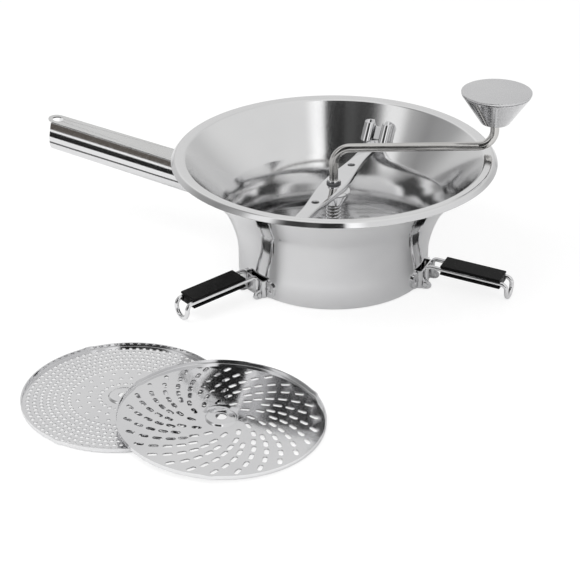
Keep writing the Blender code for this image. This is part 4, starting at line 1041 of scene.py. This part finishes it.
def build_bracket(letter, azimuth):
    wall = math.sqrt((FOOT_RADIUS + SEAT_GAP) ** 2 - BRACKET_HALF ** 2)
    face = BRACKET_FACE - BRACKET_SHEET / 2
    bend = BRACKET_HALF - BRACKET_SHEET / 2
    corners = [(wall, -bend), (face, -bend), (face, bend), (wall, bend)]
    middle = flat_path(corners, [BRACKET_BEND, BRACKET_BEND])
    section = sheet_outline(middle, BRACKET_SHEET)
    rings = []
    for height in (BRACKET_LOW, BRACKET_HIGH):
        rings.append([Vector((reach, across, height)) for reach, across in section])
    solid = turned(loft_rings(rings), azimuth)
    plate = show("bracket_" + letter, solid, "mill", POLISHED, ["leg_bracket_" + letter])
    plate.modifiers["soft_edges"].width = BRACKET_SOFT
    for sign, side in ((1, "left"), (-1, "right")):
        show("ear_" + letter + "_" + side, ear_solid(sign, azimuth), "mill", POLISHED, soften=BRACKET_SOFT)
        build_wing(letter, side, azimuth, sign)


def ear_solid(sign, azimuth):
    root = BRACKET_FACE - BRACKET_SHEET * EAR_ROOT_SHARE
    outline = [(root, PIVOT_HEIGHT - EAR_RADIUS)]
    for step in range(EAR_STEPS + 1):
        angle = math.pi * step / EAR_STEPS - math.pi / 2
        reach = PIVOT_REACH + EAR_REACH * math.cos(angle)
        outline.append((reach, PIVOT_HEIGHT + EAR_RADIUS * math.sin(angle)))
    outline.append((root, EAR_NECK))
    hole = circle_points(WIRE_RADIUS + PIN_GAP, EAR_STEPS, (PIVOT_REACH, PIVOT_HEIGHT))

    def place(reach, height, side):
        across = EAR_SPAN + (EAR_SHEET if side > 0 else 0)
        return Vector((reach, sign * across, height))

    return turned(sheet_body(outline, [hole], [], place), azimuth)


def rivet_head(centre, outward, radius, rise):
    """A low dome that faces outward."""
    solid = bmesh.new()
    side = Vector((-outward.y, outward.x, 0))
    rings = []
    for step in range(RIVET_RINGS):
        angle = math.pi / 2 * step / RIVET_RINGS
        middle = centre + outward * rise * math.sin(angle)
        ring = []
        for turn, lift in circle_points(radius * math.cos(angle), RIVET_SIDES):
            ring.append(solid.verts.new(middle + side * turn + Vector((0, 0, lift))))
        rings.append(ring)
    for near, far in zip(rings, rings[1:]):
        for index in range(RIVET_SIDES):
            other = (index + 1) % RIVET_SIDES
            solid.faces.new((near[index], near[other], far[other], far[index]))
    solid.faces.new(rings[-1])
    solid.faces.new(rings[0][::-1])
    return solid


def build_wing(letter, side, azimuth, sign):
    """The bracket's fastening wing, bent to the bowl's wall and riveted to it."""
    near_edge = (BRACKET_HALF + SEAT_GAP) / FOOT_RADIUS
    flat = WING_WIDTH - WING_ROUND
    outline = [(0, WING_LOW)]
    for centre, first in (((flat, WING_LOW + WING_ROUND), -90), ((flat, WING_HIGH - WING_ROUND), 0)):
        for step in range(WING_ROUND_STEPS + 1):
            angle = math.radians(first + 90 * step / WING_ROUND_STEPS)
            along = centre[0] + WING_ROUND * math.cos(angle)
            outline.append((along, centre[1] + WING_ROUND * math.sin(angle)))
    outline.append((0, WING_HIGH))
    creases = []
    for share in WING_CREASE_SHARES:
        creases.append([(WING_WIDTH * share, WING_LOW), (WING_WIDTH * share, WING_HIGH)])

    def place(along, height, face):
        angle = azimuth + sign * (near_edge + along / FOOT_RADIUS)
        radius = wall_radius(height, HALF_SHELL + (SEAT_GAP + WING_SHEET if face > 0 else 0))
        return polar(radius, angle, height)

    name = letter + "_" + side
    solid = sheet_body(outline, [], creases, place)
    wing = show("wing_" + name, solid, "mill", POLISHED, ["leg_strap_" + name])
    wing.modifiers["soft_edges"].width = WING_SOFT
    outward = polar(1, azimuth + sign * (near_edge + WING_WIDTH / 2 / FOOT_RADIUS), 0)
    centre = outward * (FOOT_RADIUS + SEAT_GAP + WING_SHEET) + Vector((0, 0, RIVET_HEIGHT))
    head = rivet_head(centre, outward, RIVET_RADIUS, RIVET_RISE)
    show("rivet_" + name, head, "mill", BRIGHT, soften=0)


# Stage

FLOOR_HALF = 4000 * MM


def build_floor():
    mesh = bpy.data.meshes.new("floor")
    half = FLOOR_HALF
    corners = [(-half, -half, 0), (half, -half, 0), (half, half, 0), (-half, half, 0)]
    mesh.from_pydata(corners, [], [(0, 1, 2, 3)])
    material, nodes, links = new_material("floor_white")
    nodes["Principled BSDF"].inputs["Base Color"].default_value = (0.92, 0.92, 0.92, 1)
    nodes["Principled BSDF"].inputs["Roughness"].default_value = 0.9
    nodes["Principled BSDF"].inputs["Specular IOR Level"].default_value = 0
    white = nodes.new("ShaderNodeEmission")
    white.inputs["Color"].default_value = (1, 1, 1, 1)
    white.inputs["Strength"].default_value = 1.10
    light_path = nodes.new("ShaderNodeLightPath")
    share = nodes.new("ShaderNodeMath")
    share.operation = "MULTIPLY"
    share.inputs[1].default_value = 0.75
    links.new(light_path.outputs["Is Camera Ray"], share.inputs[0])
    mix = nodes.new("ShaderNodeMixShader")
    links.new(share.outputs[0], mix.inputs[0])
    links.new(nodes["Principled BSDF"].outputs[0], mix.inputs[1])
    links.new(white.outputs[0], mix.inputs[2])
    links.new(mix.outputs[0], nodes["Material Output"].inputs["Surface"])
    mesh.materials.append(material)
    floor = bpy.data.objects.new("floor", mesh)
    bpy.context.scene.collection.objects.link(floor)
    floor.location.z = -0.0005


def add_card(name, corners, grey):
    """A dark card on the floor beside the view, seen only in the metal; the grey one under the handle is
    painted shadow.
    """
    mesh = bpy.data.meshes.new(name)
    points = [tuple(Vector((x, y, 0)) * MM + AXIS) for x, y in corners]
    mesh.from_pydata(points, [], [tuple(range(len(corners)))])
    material, nodes, _ = new_material(name)
    nodes["Principled BSDF"].inputs["Base Color"].default_value = (*grey, 1)
    nodes["Principled BSDF"].inputs["Specular IOR Level"].default_value = 0
    mesh.materials.append(material)
    card = bpy.data.objects.new(name, mesh)
    bpy.context.scene.collection.objects.link(card)
    card.visible_camera = False
    card.visible_diffuse = False
    card.visible_shadow = False


# The studio that metal reflects: grey levels of upright strips, by azimuth from the view's right
STRIPS = (
    (0, 0.80), (30, 0.78), (50, 0.70), (75, 0.76), (105, 0.78), (118, 0.88), (130, 0.80), (138, 0.68),
    (143, 0.52), (150, 0.42), (158, 0.37), (167, 0.34), (174, 0.29), (184, 0.38), (192, 0.46), (200, 0.95),
    (214, 0.98), (221, 0.30), (228, 0.06), (242, 0.05), (246, 0.08), (255, 0.08), (258, 0.03), (277, 0.03),
    (280, 1.05), (284, 1.25), (289, 1.25), (299, 0.82), (330, 0.80), (345, 0.80),
)
LOW_STRIPS = (
    (0, 0.70), (40, 0.60), (90, 0.76), (150, 0.60), (185, 0.30), (205, 0.55), (222, 0.30), (232, 0.07),
    (262, 0.04), (290, 0.06), (299, 0.90), (320, 0.95), (340, 0.60),
)
LOW_END = 0.22
LOW_START = 0.42
VIEW_AZIMUTH_DEG = 23.0
OVERHEAD_LEVEL = 0.85
OVERHEAD_START = 0.86
OVERHEAD_END = 0.95
ROOM_LEVEL = 0.55


def math_node(nodes, links, operation, first, second=None, third=None):
    node = nodes.new("ShaderNodeMath")
    node.operation = operation
    for socket, value in zip(node.inputs, (first, second, third)):
        if isinstance(value, (int, float)):
            socket.default_value = value
        elif value is not None:
            links.new(value, socket)
    return node.outputs[0]


def mix_values(nodes, links, share, first, second):
    node = nodes.new("ShaderNodeMix")
    pairs = ((node.inputs["Factor"], share), (node.inputs["A"], first), (node.inputs["B"], second))
    for socket, value in pairs:
        if isinstance(value, (int, float)):
            socket.default_value = value
        else:
            links.new(value, socket)
    return node.outputs["Result"]


def add_ramp(nodes, links, place, strips):
    """Grey levels that run round the studio and meet at the view's right."""
    ramp = nodes.new("ShaderNodeValToRGB")
    links.new(place, ramp.inputs["Fac"])
    stops = ramp.color_ramp.elements
    stops[1].position = 1
    for stop in stops:
        stop.color = (strips[0][1], strips[0][1], strips[0][1], 1)
    for degrees, grey in strips[1:]:
        stop = stops.new(degrees / 360)
        stop.color = (grey, grey, grey, 1)
    return ramp.outputs["Color"]


def build_world():
    """A white background; metal reflects a pale studio with darker upright strips."""
    world = bpy.data.worlds.new("studio")
    bpy.context.scene.world = world
    world.use_nodes = True
    nodes = world.node_tree.nodes
    links = world.node_tree.links
    direction = nodes.new("ShaderNodeTexCoord").outputs["Generated"]
    parts = nodes.new("ShaderNodeSeparateXYZ")
    links.new(direction, parts.inputs[0])
    turn = math_node(nodes, links, "ARCTAN2", parts.outputs["Y"], parts.outputs["X"])
    turns = math_node(nodes, links, "MULTIPLY_ADD", turn, 1 / (2 * math.pi), 1 - VIEW_AZIMUTH_DEG / 360)
    around = math_node(nodes, links, "FRACT", turns)
    upper = add_ramp(nodes, links, around, STRIPS)
    lower = add_ramp(nodes, links, around, LOW_STRIPS)
    rise = map_range(nodes, links, parts.outputs["Z"], 0, 1, LOW_END, LOW_START)
    walls = mix_values(nodes, links, rise, lower, upper)
    overhead = map_range(nodes, links, parts.outputs["Z"], 0, 1, OVERHEAD_START, OVERHEAD_END)
    studio = mix_values(nodes, links, overhead, walls, OVERHEAD_LEVEL)
    light_path = nodes.new("ShaderNodeLightPath")
    glossy = mix_values(nodes, links, light_path.outputs["Is Glossy Ray"], ROOM_LEVEL, studio)
    shown = mix_values(nodes, links, light_path.outputs["Is Camera Ray"], glossy, 1)
    nodes["Background"].inputs["Color"].default_value = (1, 1, 1, 1)
    links.new(shown, nodes["Background"].inputs["Strength"])


def add_light(name, place, size, power, aim=(0, 0, 0.05)):
    data = bpy.data.lights.new(name, "AREA")
    data.size = size
    data.energy = power
    lamp = bpy.data.objects.new(name, data)
    lamp.location = place
    lamp.rotation_euler = (Vector(aim) - Vector(place)).to_track_quat("-Z", "Y").to_euler()
    bpy.context.scene.collection.objects.link(lamp)
    lamp.visible_glossy = False


def build_camera():
    data = bpy.data.cameras.new("camera")
    data.sensor_width = 36
    data.lens = 109.23
    camera = bpy.data.objects.new("camera", data)
    pitch = math.radians(27.718)
    roll = math.radians(-0.3244)
    azimuth = math.radians(23)
    level = math.cos(pitch)
    look = Vector((-math.sin(azimuth) * level, math.cos(azimuth) * level, -math.sin(pitch)))
    turn = look.to_track_quat("-Z", "Y").to_matrix() @ Matrix.Rotation(roll, 3, "Z")
    place = Vector((453.1 * MM, -1155.0 * MM, 630.1 * MM)) + AXIS
    camera.matrix_world = Matrix.Translation(place) @ turn.to_4x4()
    bpy.context.scene.collection.objects.link(camera)
    bpy.context.scene.camera = camera


build_bowl()
build_handle()
build_bar()
build_bridge_fittings()
build_catch("catch_far", 1, "catch_back")
build_catch("catch_near", -1, "catch_front")
build_crank()
build_knob()
build_spring()
build_discs()
for letter, degrees in zip(LEG_LETTERS, LEG_AZIMUTHS_DEG):
    build_bracket(letter, math.radians(degrees))
    build_leg(letter, math.radians(degrees))
build_floor()
# Painted shadow: this grey card under the handle, seen only in reflections, stands in for the handle's
# shadow on the floor
add_card("card_painted_shadow_under_handle", ((-330, -58), (-135, -58), (-135, -44), (-330, -40)), (0.12, 0.12, 0.12))
add_card("card_near", ((-430, -250), (-140, -225), (-140, -122), (-430, -128)), (0.02, 0.02, 0.02))
add_card("card_far", ((-700, -900), (-150, -800), (-150, -305), (-700, -330)), (0.10, 0.09, 0.08))
build_world()
add_light("key", (-0.6, -0.5, 1.3), 1.0, 12)
add_light("fill", (0.9, -0.7, 0.9), 0.8, 5)
build_camera()
bpy.context.scene.view_settings.view_transform = "Standard"
